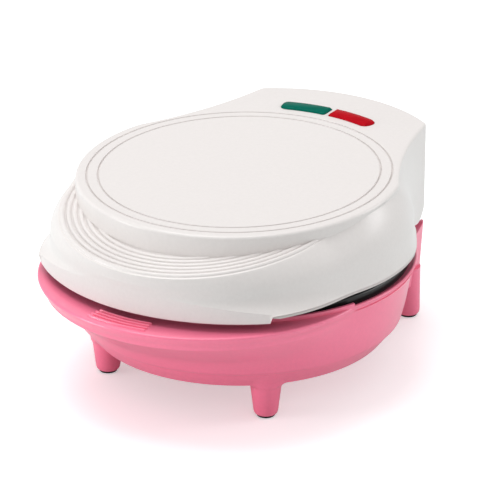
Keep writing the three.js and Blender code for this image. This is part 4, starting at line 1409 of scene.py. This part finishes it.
@dataclass
class Base:
    """The base's moulding: bowl, ledge, collar, grip, housing, legs and hinge ears."""

    bowl_shares: tuple[tuple[float, float], ...] = (
        (0.0, 0.828), (0.07, 0.853), (0.14, 0.876), (0.215, 0.899), (0.3, 0.917),
        (0.46, 0.936), (0.73, 0.956), (0.88, 0.969), (0.945, 0.983), (1.0, 1.0),
    )
    underside_radius: float = 100.0
    shelf_top: float = 83.7
    shelf_reach: float = 11.0
    shelf_thickness: float = 2.5
    mouth_radius: float = 84.3
    flange: float = 10.0
    flange_bottom: float = 30.7
    ledge_centre: float = 40.0
    ledge_radius: float = 122.7
    blend_width: float = 9.0
    band_height: float = 11.0
    band_draft: float = 4.7
    ledge_fillet: float = 1.6
    ledge_foot: float = 41.0
    collar_top: float = 88.7
    collar_angle: float = 71.0
    grip_ridges: int = 4
    grip_inset: float = 5.2
    grip_spacing: float = 3.93
    grip_width: float = 1.6
    grip_rise: float = 1.6
    grip_angle: float = 11.8
    housing_height: float = 47.5
    housing_draft: float = 1.9
    housing_side: float = 72.8
    housing_corner: float = 13.3
    housing_rear: float = 33.5
    housing_rounding: float = 3.0
    housing_split: float = 66.0
    housing_levels: int = 16
    flank_sink: float = 0.6
    front_sink: float = 2.3
    deck_height: float = 24.0
    pillar_inner: float = 58.0
    relief_half: float = 69.5
    relief_height: float = 40.8
    flank_angle: float = 124.0
    cradle: float = 25.5
    leg_tip: float = 7.2
    leg_tip_height: float = 1.6
    leg_neck: float = 9.0
    leg_flare: float = 7.0
    leg_blend: float = 6.0
    leg_root: float = 13.0
    front_leg: Plan = (43.9, 98.6)
    front_leg_root: float = 13.3
    rear_leg: Plan = (66.0, 134.5)
    rear_leg_lean: float = 2.0
    rear_leg_root: float = 11.3
    ear_span: Plan = (46.5, 59.2)
    ear_radius: float = 8.5
    ear_arm: float = 15.0
    ear_foot: float = 76.0
    steps: int = 240

    @property
    def leg_top(self) -> float:
        """Height of the legs' roots, inside the bowl."""
        return HEIGHTS.underside + self.leg_root

    def bowl_radius(self, height: float) -> float:
        """Return the bowl's outside radius at a height."""
        rise = HEIGHTS.rim - HEIGHTS.underside
        return HEIGHTS.radius * curve_value(self.bowl_shares, (height - HEIGHTS.underside) / rise)

    def ledge_circle(self, height: float) -> Plan:
        """Return the ledge's centre in front of the axis and its radius at a height.

        Args:
            height: The height.

        Returns:
            The centre's distance and the radius.
        """
        foot_shares = ((0.0, 0.0), (0.36, 0.28), (0.66, 0.62), (1.0, 1.0))
        size_shares = ((0.0, 0.975), (0.36, 0.99), (0.66, 0.995), (1.0, 1.0))
        band = ((0.0, 0.0), (0.16, 0.05), (0.34, 0.2), (0.55, 0.5), (0.8, 0.82), (1.0, 1.0))
        foot = HEIGHTS.rim - self.band_height
        radius = self.ledge_radius - self.band_draft
        if height > foot:
            share = min(1.0, (height - foot) / (self.band_height - self.ledge_fillet))
            return self.ledge_centre, radius + self.band_draft * curve_value(band, share)
        share = (height - self.ledge_foot) / (foot - self.ledge_foot)
        centre = self.ledge_centre * curve_value(foot_shares, max(0.0, share))
        return centre, radius * curve_value(size_shares, max(0.0, share))

    def outside(self, angle: float, height: float) -> float:
        """Return the distance from the axis to the bowl's or the ledge's outside.

        Args:
            angle: The angle from the front.
            height: The height.

        Returns:
            The distance.
        """
        bowl = self.bowl_radius(height)
        if height < self.ledge_foot:
            return bowl
        centre, radius = self.ledge_circle(height)
        rise = (height - self.ledge_foot) / (HEIGHTS.rim - self.ledge_foot)
        softness = blend(self.blend_width, 1.0, smooth_share(rise * rise))
        return smooth_max(bowl, off_centre(angle, centre, radius), softness)

    def skin_ring(self, height: float, inward: float = 0.0) -> list[Point]:
        """Return the outside's ring at a height, moved inwards."""
        angles = [360 * i / self.steps for i in range(self.steps)]
        return inset([(*polar(a, self.outside(a, height)), height) for a in angles], inward)

    def bowl_rings(self) -> list[list[Point]]:
        """Return the rings of the bowl and its ledge, from the mouth outside, over and in again.

        Returns:
            The rings, in order. The last one lies on the first.
        """
        low, rim, wall = HEIGHTS.underside, HEIGHTS.rim, HEIGHTS.wall
        fillet, levels = self.ledge_fillet, 64
        first = self.bowl_radius(low)
        profile = [
            (self.mouth_radius, low + 0.4), (self.mouth_radius + 0.4, low),
            (self.underside_radius, low), (blend(self.underside_radius, first, 0.7), low + 0.15),
        ]
        rings = [circle(radius, self.steps, z) for radius, z in profile]
        top = rim - fillet
        rings += [self.skin_ring(blend(low, top, i / levels)) for i in range(levels + 1)]
        edge = rings[-1]
        for turn in (22, 45, 68, 90):
            inward, drop = quarter(turn, fillet)
            rings.append([(x, y, rim - drop) for x, y, _ in inset(edge, inward)])
        inner_rim, shelf = HEIGHTS.radius - wall, HEIGHTS.radius - self.shelf_reach
        under = self.shelf_top - self.shelf_thickness
        inside = [
            (inner_rim + 0.5, rim), (inner_rim, rim - 0.5), (inner_rim, self.shelf_top),
            (shelf, self.shelf_top), (shelf, under), (inner_rim, under),
        ]
        inner_heights = [low + 8 + 3 * i for i in range(14, -1, -1)]
        inside += [(self.bowl_radius(height) - wall, height) for height in inner_heights]
        flange_top = self.flange_bottom + 2.4
        inside += [
            (self.underside_radius, low + wall + 1.5), (self.mouth_radius + wall, flange_top),
            (self.mouth_radius - self.flange, flange_top),
            (self.mouth_radius - self.flange, self.flange_bottom),
            (self.mouth_radius, self.flange_bottom), profile[0],
        ]
        return rings + [circle(radius, self.steps, z) for radius, z in inside]

    def build_bowl(self) -> None:
        """Build the bowl with its ledge, rim, shelf and the mouth for the cover."""
        bowl = lofted("base_bowl", self.bowl_rings(), capped=False)
        dress(bowl, PINK, "base", "base_shell")

    def build_collar(self) -> None:
        """Build the low collar that stands on the rim round the front."""
        outer, inner = HEIGHTS.radius, HEIGHTS.radius - HEIGHTS.wall
        top, bottom, edge = self.collar_top, self.shelf_top + 0.4, 0.45
        section = (
            (outer, bottom), (outer, top - edge), (outer - edge * 0.3, top - edge * 0.3),
            (outer - edge, top), (inner + edge, top), (inner + edge * 0.3, top - edge * 0.3),
            (inner, top - edge), (inner, bottom),
        )
        rings = []
        steps = 120
        for i in range(steps + 1):
            angle = self.collar_angle * (2 * i / steps - 1)
            rings.append([(*polar(angle, radius), z) for radius, z in section])
        dress(lofted("base_collar", rings), PINK, "base", "base_shell")

    def build_grip(self) -> None:
        """Build the grip's ridges on the front of the ledge."""
        made = []
        for i in range(self.grip_ridges):
            radius = self.ledge_radius - self.grip_inset - self.grip_spacing * i
            ridge = Ridge(
                radius, -self.ledge_centre, self.grip_angle, self.grip_width, self.grip_rise, 36
            )
            made.append(ridge.build(f"grip_ridge_{i + 1}", lambda y: HEIGHTS.rim))
        dress(joined("base_grip_ridges", made), PINK, "base", "base_shell", angle=50)

    def housing_ring(self, share: float, height: float) -> list[Point]:
        """Return the housing's outline at a share of its height.

        Args:
            share: The share of the housing's height.
            height: The height.

        Returns:
            The outline.
        """
        shift = self.housing_draft * (1 - share)
        start = polar(self.flank_angle, self.bowl_radius(height) - self.flank_sink)
        block = RearBlock(
            self.housing_side - shift,
            HEIGHTS.radius + self.housing_corner - shift,
            HEIGHTS.radius + self.housing_rear - shift,
            self.housing_rounding,
            self.housing_split,
        )
        inside = self.bowl_radius(height) - self.front_sink
        front = [polar(blend(180.0, self.flank_angle, i / 24), inside) for i in range(25)]
        half = [*front, start, *block.half(start, HEIGHTS.flank_pulls)]
        return mirrored([(x, y, height) for x, y in half])

    def build_housing(self) -> None:
        """Build the housing behind the bowl: two pillars and a low deck between them."""
        low, rise, levels = HEIGHTS.underside, self.housing_height, self.housing_levels
        rings = [self.housing_ring(i / levels, low + rise * i / levels) for i in range(levels + 1)]
        housing = lofted("base_housing", rings)
        deck, top = low + self.deck_height, low + rise
        inner, reach = self.pillar_inner, HEIGHTS.radius + 60
        well = slab("well_cutter", (-inner, 50.0, deck), (inner, reach, top + 5))
        side, floor = self.relief_half, low + self.relief_height
        relief = slab("relief_cutter", (-side, HEIGHTS.hinge_y, floor), (side, reach, top + 5))
        profile = [(self.cradle, -90.0), (self.cradle, 90.0)]
        cradle = cross_turned("cradle_cutter", profile, 96, HEIGHTS.hinge)
        carve(housing, well, relief, cradle)
        soften(housing, 0.7, angle=40)
        dress(housing, PINK, "base", "base_shell")

    def leg_radius(self, height: float, root: float) -> float:
        """Return a leg's radius at a height, without its blend into the bowl.

        Args:
            height: The height.
            root: The leg's radius at its root.

        Returns:
            The radius.
        """
        rise = height - self.leg_tip_height
        tip, neck, top = self.leg_tip, self.leg_neck, self.leg_top - self.leg_tip_height
        shape = (
            (0.0, tip - 0.5), (0.5, tip + 0.45), (1.4, tip + 1.15), (2.6, tip + 1.55), (4.0, neck),
            (14.0, blend(neck, root, 0.27)), (26.0, blend(neck, root, 0.62)), (top, root),
        )
        return curve_value(shape, rise)

    def leg_reach(self, angle: float, height: float, at: Plan, root: float) -> float:
        """Return a front leg's radius at an angle, with its soft blend into the bowl.

        Args:
            angle: The direction about the leg's own axis.
            height: The height.
            at: The leg's axis in plan.
            root: The leg's radius at its root.

        Returns:
            The distance from the leg's axis to its surface.
        """
        plain = self.leg_radius(height, root)
        level = max(height, HEIGHTS.underside)
        bowl = self.bowl_radius(level)
        slope = self.bowl_radius(level + 1) - bowl
        low, high = plain, plain + self.leg_flare
        for _ in range(14):
            middle = (low + high) / 2
            dx, dy = polar(angle, middle)
            out = (math.hypot(at[0] + dx, at[1] + dy) - bowl) / math.hypot(1.0, slope)
            inside = -max(HEIGHTS.underside - height, out)
            apart = -smooth_max(inside, plain - middle, self.leg_blend)
            low, high = (middle, high) if apart < 0 else (low, middle)
        sunk = smooth_share((low - plain) / self.leg_flare) * 0.35
        return low - sunk

    def leg_rings(self, at: Plan, lean: Plan, root: float) -> list[list[Point]]:
        """Return a leg's rings from its rounded tip to its root inside the bowl.

        Args:
            at: The tip's centre.
            lean: How far the root lies from the tip, in X and Y.
            root: The radius at the root.

        Returns:
            The rings.
        """
        low, top, steps = self.leg_tip_height, self.leg_top, 96
        heights = [low + rise for rise in (0.0, 0.25, 0.6, 1.0, 1.5, 2.1, 2.9, 4.0, 6.0, 8.5)]
        heights += [blend(low + 8.5, top, i / 36) for i in range(1, 37)]
        rings = []
        for height in heights:
            share = (height - low) / (top - low)
            centre = (at[0] + lean[0] * share, at[1] + lean[1] * share)
            ring = []
            for i in range(steps):
                angle = 360 * i / steps
                radius = self.leg_radius(height, root)
                if lean[0] == 0:
                    radius = self.leg_reach(angle, height, at, root)
                x, y = polar(angle, radius)
                ring.append((x + centre[0], y + centre[1], height))
            rings.append(ring)
        return rings

    def leg_places(self) -> dict[str, tuple[Plan, Plan, float]]:
        """Return each leg's tip, lean and root radius by its name.

        Returns:
            The legs by name.
        """
        front_x, front_y = polar(*self.front_leg)
        rear_x, rear_y = self.rear_leg
        lean = self.rear_leg_lean
        places = {}
        for side, name in ((-1, "left"), (1, "right")):
            front, rear = (side * front_x, front_y), (side * rear_x, rear_y)
            places[f"front_{name}"] = (front, (0.0, 0.0), self.front_leg_root)
            places[f"rear_{name}"] = (rear, (-side * lean, -lean), self.rear_leg_root)
        return places

    def build_legs(self) -> None:
        """Build the four legs and the rubber foot under each."""
        for name, (at, lean, root) in self.leg_places().items():
            leg = lofted(f"base_leg_{name}", self.leg_rings(at, lean, root))
            dress(leg, PINK, "base", "base_shell", angle=50)
            profile = [(5.4, 0.0), (6.2, 0.15), (6.6, 0.6), (6.6, 1.3), (3.0, 1.35), (3.0, 4.4)]
            foot = turned(f"rubber_foot_{name}", profile, 64, at)
            dress(foot, RUBBER, "base", f"{name}_foot", angle=50)

    def build_ears(self) -> None:
        """Build the two ears that hold the hinge pins."""
        y, radius, foot = HEIGHTS.hinge_y, self.ear_radius, self.ear_foot
        bore_radius = HEIGHTS.pin_bore
        outline = [about(HEIGHTS.hinge, radius, -99 + 279 * i / 32) for i in range(33)]
        root = y - self.ear_arm
        outline += [(root, HEIGHTS.rim), (root, foot), (y - radius, foot)]
        inner, outer = self.ear_span
        rings = [[(x, a, b) for a, b in outline] for x in (inner, outer)]
        ear = lofted("base_ear_right", rings)
        profile = [(bore_radius, inner - 4), (bore_radius, outer + 4)]
        bore = cross_turned("ear_cutter", profile, 48, HEIGHTS.hinge)
        carve(ear, bore)
        soften(ear, 0.5, angle=50)
        twin = mirror_copy(ear, "base_ear_left")
        for piece in (ear, twin):
            dress(piece, PINK, "base", "base_shell")

    def build(self) -> None:
        """Build every piece of the base's moulding."""
        self.build_bowl()
        self.build_collar()
        self.build_grip()
        self.build_housing()
        self.build_legs()
        self.build_ears()


class Side(Enum):
    """Which of the two plates is meant."""

    LOWER = "lower"
    UPPER = "upper"


@dataclass
class BakingPlate:
    """A non-stick plate with seven cups and a rolled rim."""

    side: Side
    radius: float = 124.5
    web: float = 2.2
    rim_height: float = 7.5
    rim_thickness: float = 3.4
    rim_round: float = 2.4
    cup_pitch: float = 74.0
    cup_radius: float = 33.5
    cup_taper: float = 8.5
    cup_wall: float = 2.0
    cup_round: float = 3.4
    outer_cups: int = 6
    lower_depth: float = 32.5
    upper_depth: float = 10.5
    eye: float = 10.0
    screw_pitch: float = 110.0
    screw_seat: float = 4.0
    seat_depth: float = 2.7
    boss_radius: float = 4.8
    boss_depth: float = 5.0
    plate_steps: int = 192
    cup_steps: int = 72
    boss_steps: int = 32
    round_steps: int = 6

    @property
    def depth(self) -> float:
        """Depth of a cup."""
        return self.lower_depth if self.side is Side.LOWER else self.upper_depth

    def height(self, drop: float) -> float:
        """Return the height of a level that lies a distance behind the plate's face.

        Args:
            drop: The distance behind the face.

        Returns:
            The height.
        """
        if self.side is Side.LOWER:
            return HEIGHTS.lower_face - drop
        return HEIGHTS.upper_face + drop

    def solid(self, name: str, profile: list[Plan], steps: int, centre: Plan) -> bpy.types.Object:
        """Return a turned solid whose profile has radii and distances behind the face."""
        heights = [(radius, self.height(drop)) for radius, drop in profile]
        return turned(name, heights, steps, centre)

    def solids(
        self, stem: str, profile: list[Plan], steps: int, places: list[Plan]
    ) -> list[bpy.types.Object]:
        """Return a turned solid at each place, numbered after a stem."""
        return [self.solid(f"{stem}_{i}", profile, steps, at) for i, at in enumerate(places)]

    def cup_places(self) -> list[Plan]:
        """Return the centres of the cups."""
        turns = [360 * i / self.outer_cups for i in range(self.outer_cups)]
        return [(0.0, 0.0), *(polar(turn, self.cup_pitch) for turn in turns)]

    def hollow_profile(self) -> list[Plan]:
        """Return a cup's inside, with its mouth rounded and its floor bevelled softly.

        Returns:
            Pairs of radius and distance behind the face.
        """
        mouth, floor = self.cup_radius, self.cup_radius - self.cup_taper
        points = [
            (mouth + 1.5, -3.0), (mouth + 1.5, 0.0), (mouth + 0.8, 0.12),
            (mouth + 0.3, 0.5), (mouth, 1.1),
        ]
        for i in range(self.round_steps + 1):
            inward, drop = quarter(90 * i / self.round_steps, self.cup_round)
            points.append((floor - inward, self.depth - drop))
        return [*points, (floor * 0.5, self.depth)]

    def bulk_profile(self) -> list[Plan]:
        """Return a cup's outside.

        Returns:
            Pairs of radius and distance behind the face.
        """
        floor = self.cup_radius - self.cup_taper + self.cup_wall
        bottom = self.depth + self.cup_wall
        return [
            (self.cup_radius + self.cup_wall, self.web / 2),
            (floor, bottom - self.cup_round), (floor - 1.0, bottom - 1.0),
            (floor - self.cup_round, bottom), (floor * 0.5, bottom),
        ]

    def plate_profile(self) -> list[Plan]:
        """Return the section of the plate's web and rolled rim.

        Returns:
            Pairs of radius and distance behind the face.
        """
        radius = self.radius
        points: list[Plan] = [(self.eye, 0.0)]
        for i in range(self.round_steps + 1):
            drop, inward = quarter(90 * i / self.round_steps, self.rim_round)
            points.append((radius - inward, drop))
        points += [
            (radius, self.rim_height - 1.0), (radius - 0.3, self.rim_height - 0.3),
            (radius - 1.0, self.rim_height), (radius - self.rim_thickness, self.rim_height),
            (radius - self.rim_thickness, self.web), (self.eye, self.web),
        ]
        return points

    def build(self) -> None:
        """Build the plate."""
        name, cups = f"{self.side.value}_plate", self.cup_places()
        plate = self.solid(name, self.plate_profile(), self.plate_steps, (0.0, 0.0))
        bulks = self.solids(f"{name}_cup", self.bulk_profile(), self.cup_steps, cups)
        carve(plate, *bulks, operation="UNION")
        carve(plate, *self.solids(f"{name}_cut", self.hollow_profile(), self.cup_steps, cups))
        if self.side is Side.UPPER:
            places = [polar(30 + 120 * i, self.screw_pitch) for i in range(3)]
            boss = [(self.boss_radius, self.web / 2), (self.boss_radius, self.boss_depth)]
            seat = [(self.screw_seat, -4.0), (self.screw_seat, self.seat_depth)]
            carve(plate, *self.solids("boss", boss, self.boss_steps, places), operation="UNION")
            carve(plate, *self.solids("seat", seat, self.boss_steps, places))
        body = "base" if self.side is Side.LOWER else "lid"
        dress(plate, NON_STICK, body, f"{self.side.value}_baking_plate")


@dataclass
class Fittings:
    """The cover, gland, hinge pins and screws."""

    cover_radius: float = 84.0
    cover_thickness: float = 2.4
    slots: int = 5
    slot_size: Plan = (3.0, 44.0)
    slot_pitch: float = 12.0
    cover_screw_pitch: float = 79.0
    plate_screw_pitch: float = 110.0
    gland_z: float = 41.0
    gland_y: float = 162.6
    gland_proud: float = 1.3
    pin_head: float = 5.0
    pin_shank: float = 3.0
    pin_span: Plan = (44.0, 46.2)
    pin_end: float = 68.0
    screw_head: float = 3.7
    screw_height: float = 2.4
    screw_shank: float = 1.9
    screw_slot: float = 0.45
    cover_screw_sink: float = 0.3
    cover_screw_length: float = 8.3
    plate_screw_sink: float = 0.05
    plate_screw_length: float = 12.0

    def build_cover(self) -> None:
        """Build the cover under the base, with its slots."""
        low, radius, edge = HEIGHTS.underside, self.cover_radius, 0.4
        top = low + self.cover_thickness
        profile = [(radius - edge, low), (radius, low + edge), (radius, top)]
        cover = turned("bottom_cover_panel", profile, 192)
        width, length = self.slot_size[0] / 2, self.slot_size[1] / 2
        cutters = []
        for i in range(self.slots):
            x = (i - (self.slots - 1) / 2) * self.slot_pitch
            outline = []
            for k in range(24):
                turn = math.radians(15 * k)
                shift = (length - width) * (1 if math.sin(turn) > 0 else -1)
                outline.append((x + width * math.cos(turn), width * math.sin(turn) + shift))
            rings = [[(a, b, z) for a, b in outline] for z in (low - 3, top + 3)]
            cutters.append(lofted(f"slot_cutter_{i}", rings))
        carve(cover, *cutters)
        soften(cover, 0.25, angle=50, segments=1)
        dress(cover, PINK, "base", "bottom_cover")

    def screw(self, name: str, at: Plan, face: float, length: float) -> bpy.types.Object:
        """Return a screw that is driven upwards, with its slotted head's face at a height.

        Args:
            name: The screw's name.
            at: Its place in plan.
            face: Height of the head's outer face.
            length: Length of the shank beyond the head.

        Returns:
            The screw.
        """
        head, rise, shank = self.screw_head, self.screw_height, self.screw_shank
        profile = [
            (head * 0.45, face), (head * 0.72, face + 0.15), (head * 0.9, face + 0.6),
            (head, face + 1.3), (head, face + rise), (shank, face + rise),
            (shank, face + rise + length - 1), (0.4, face + rise + length),
        ]
        screw = turned(name, profile, 40, at)
        low = (at[0] - head - 1, at[1] - self.screw_slot, face - 2)
        high = (at[0] + head + 1, at[1] + self.screw_slot, face + 1)
        carve(screw, slab("slot_cutter", low, high))
        return screw

    def build_screws(self) -> None:
        """Build the screws that show under the base and in the upper plate."""
        for i in range(4):
            place = polar(45 + 90 * i, self.cover_screw_pitch)
            face = HEIGHTS.underside - self.cover_screw_sink - self.screw_height
            screw = self.screw(f"cover_screw_{i + 1}", place, face, self.cover_screw_length)
            dress(screw, STEEL, "base", f"bottom_cover_screw_{i + 1}")
        for i in range(3):
            place = polar(30 + 120 * i, self.plate_screw_pitch)
            face = HEIGHTS.upper_face + self.plate_screw_sink
            screw = self.screw(f"plate_screw_{i + 1}", place, face, self.plate_screw_length)
            dress(screw, STEEL, "lid", f"upper_plate_screw_{i + 1}")

    def build_gland(self) -> None:
        """Build the rubber gland in the rear wall, with its bore."""
        steps = 64
        profile = [
            (6.2, -7.4), (6.2, -2.4), (9.0, -2.2), (9.0, -0.6), (8.7, -0.15), (8.0, 0.0),
            (4.4, 0.0), (3.7, -0.15), (3.4, -0.5), (3.4, -7.4), (6.2, -7.4),
        ]
        rings = []
        for radius, out in profile:
            spots = (polar(360 * i / steps, radius) for i in range(steps))
            y = self.gland_y + self.gland_proud + out
            rings.append([(a, y, self.gland_z + b) for a, b in spots])
        gland = lofted("cord_inlet_gland", rings, capped=False)
        dress(gland, RUBBER, "base", "cord_gland", angle=40)

    def build_pins(self) -> None:
        """Build the two hinge pins."""
        inner, outer = self.pin_span
        head, shank, end = self.pin_head, self.pin_shank, self.pin_end
        profile = [
            (head * 0.6, inner), (head - 0.5, inner + 0.15), (head, inner + 0.7), (head, outer),
            (shank, outer), (shank, end - 0.6), (2.4, end),
        ]
        pin = cross_turned("hinge_pin_right", profile, 40, HEIGHTS.hinge)
        twin = mirror_copy(pin, "hinge_pin_left")
        dress(pin, STEEL, "base", "right_hinge_pin")
        dress(twin, STEEL, "base", "left_hinge_pin")

    def build(self) -> None:
        """Build every fitting."""
        self.build_cover()
        self.build_screws()
        self.build_gland()
        self.build_pins()


@dataclass
class InnerParts:
    """The carried solids inside the mouldings, which keep their shapes."""

    finishes: dict[str, Finish] = field(
        default_factory=lambda: {
            "heating_element": SHEATH,
            "heat_shield": STEEL,
            "shield_screw": STEEL,
            "plate_screw": STEEL,
            "cover_screw": STEEL,
            "holder_screw": STEEL,
            "hinge_pin": STEEL,
            "thermostat": CERAMIC,
            "terminal_block": CERAMIC,
            "lamp_holder": CERAMIC,
            "thermal_fuse": SLEEVE,
            "_lamp": LAMP_GLASS,
            "_foot": RUBBER,
            "cord_gland": RUBBER,
            "baking_plate": NON_STICK,
            "base_shell": PINK,
            "bottom_cover": PINK,
            "lid_shell": WHITE,
            "green_ready_lens": GREEN_LENS,
            "red_power_lens": RED_LENS,
        }
    )

    def dress(self) -> None:
        """Give every carried solid its material."""
        for name, node in sorted(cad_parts.items()):
            finish = next(self.finishes[key] for key in self.finishes if key in name)
            node.data.materials.clear()
            node.data.materials.append(finish.material())
            log.info("%s: %s", name, finish.name)


@dataclass
class Studio:
    """The floor, the lights, the world and the camera."""

    azimuth: float = 32.8498
    elevation: float = 22.8504
    distance: float = 2.1
    lens: float = 208.708
    target: Point = (0.010721, -0.0041, 0.0890226)
    floor_size: float = 8.0
    ambient: float = 0.59
    floor_tone: Colour = (0.82, 0.87, 0.87, 1.0)
    floor_lift: float = 0.42
    floor_roughness: float = 0.8
    floor_drop: float = 0.0001
    facing: Point = (0, 0, 0.08)
    lights: tuple[tuple[str, Point, float, float], ...] = (
        ("key", (-1.9, -1.95, 0.25), 1.0, 32.0),
        ("above", (-0.4, -0.1, 2.0), 1.2, 21.0),
        ("side", (2.0, 1.8, 1.0), 1.0, 15.0),
    )

    def build_floor(self) -> None:
        """Add the pale floor."""
        clear_selection()
        bpy.ops.mesh.primitive_plane_add(size=self.floor_size, location=(0, 0, -self.floor_drop))
        floor = bpy.context.object
        floor.name = "floor"
        made = bpy.data.materials.new("pale_floor")
        made.use_nodes = True
        nodes, links = made.node_tree.nodes, made.node_tree.links
        shader = nodes["Principled BSDF"]
        levels = {
            "Base Color": self.floor_tone,
            "Roughness": self.floor_roughness,
            "Specular IOR Level": 0.0,
            "Emission Color": (1, 1, 1, 1),
        }
        set_inputs(shader, levels)
        path = nodes.new("ShaderNodeLightPath")
        seen = nodes.new("ShaderNodeMath")
        seen.operation = "MULTIPLY"
        seen.inputs[1].default_value = self.floor_lift
        links.new(path.outputs["Is Camera Ray"], seen.inputs[0])
        links.new(seen.outputs[0], shader.inputs["Emission Strength"])
        floor.data.materials.append(made)

    def build_world(self) -> None:
        """Make a soft, even surround that is white where it is seen."""
        world = bpy.context.scene.world or bpy.data.worlds.new("surround")
        bpy.context.scene.world = world
        world.use_nodes = True
        nodes, links = world.node_tree.nodes, world.node_tree.links
        nodes.clear()
        output = nodes.new("ShaderNodeOutputWorld")
        plain = nodes.new("ShaderNodeBackground")
        set_inputs(plain, {"Color": (1.0, 0.99, 0.985, 1), "Strength": self.ambient})
        seen = nodes.new("ShaderNodeBackground")
        seen.inputs["Strength"].default_value = 1.0
        path = nodes.new("ShaderNodeLightPath")
        mixed = nodes.new("ShaderNodeMixShader")
        either = nodes.new("ShaderNodeMath")
        either.operation = "MAXIMUM"
        links.new(path.outputs["Is Camera Ray"], either.inputs[0])
        links.new(path.outputs["Is Transmission Ray"], either.inputs[1])
        links.new(either.outputs[0], mixed.inputs[0])
        links.new(plain.outputs[0], mixed.inputs[1])
        links.new(seen.outputs[0], mixed.inputs[2])
        links.new(mixed.outputs[0], output.inputs["Surface"])

    def add_light(self, name: str, at: Point, size: float, power: float) -> None:
        """Add a square soft light that faces the machine.

        Args:
            name: The light's name.
            at: Its place, in metres.
            size: Length of its side, in metres.
            power: Its power, in watts.
        """
        clear_selection()
        bpy.ops.object.light_add(type="AREA", location=at)
        light = bpy.context.object
        light.name = name
        light.data.size = size
        light.data.energy = power
        facing = Vector(at) - Vector(self.facing)
        light.rotation_euler = facing.to_track_quat("Z", "Y").to_euler()

    def build_lights(self) -> None:
        """Add the soft lights: a low one at the left, one above and one at the right rear."""
        for light in self.lights:
            self.add_light(*light)

    def build_camera(self) -> None:
        """Add the camera at the photograph's angle."""
        clear_selection()
        turn, lift = math.radians(self.azimuth), math.radians(self.elevation)
        back = Vector(
            (math.sin(turn) * math.cos(lift), -math.cos(turn) * math.cos(lift), math.sin(lift))
        )
        bpy.ops.object.camera_add(location=Vector(self.target) + back * self.distance)
        camera = bpy.context.object
        camera.rotation_euler = (-back).to_track_quat("-Z", "Y").to_euler()
        camera.data.lens = self.lens
        camera.data.sensor_width = 36.0
        camera.data.clip_end = 30.0
        bpy.context.scene.camera = camera

    def build(self) -> None:
        """Build the whole studio."""
        self.build_camera()
        self.build_floor()
        self.build_world()
        self.build_lights()
        bpy.context.scene.view_settings.view_transform = "Standard"


def main() -> None:
    """Build the studio and the machine, in order."""
    Studio().build()
    lights = Lights()
    Lid().build(lights)
    lights.build()
    Base().build()
    BakingPlate(Side.LOWER).build()
    BakingPlate(Side.UPPER).build()
    Fittings().build()
    InnerParts().dress()


if __name__ == "__main__":
    main()
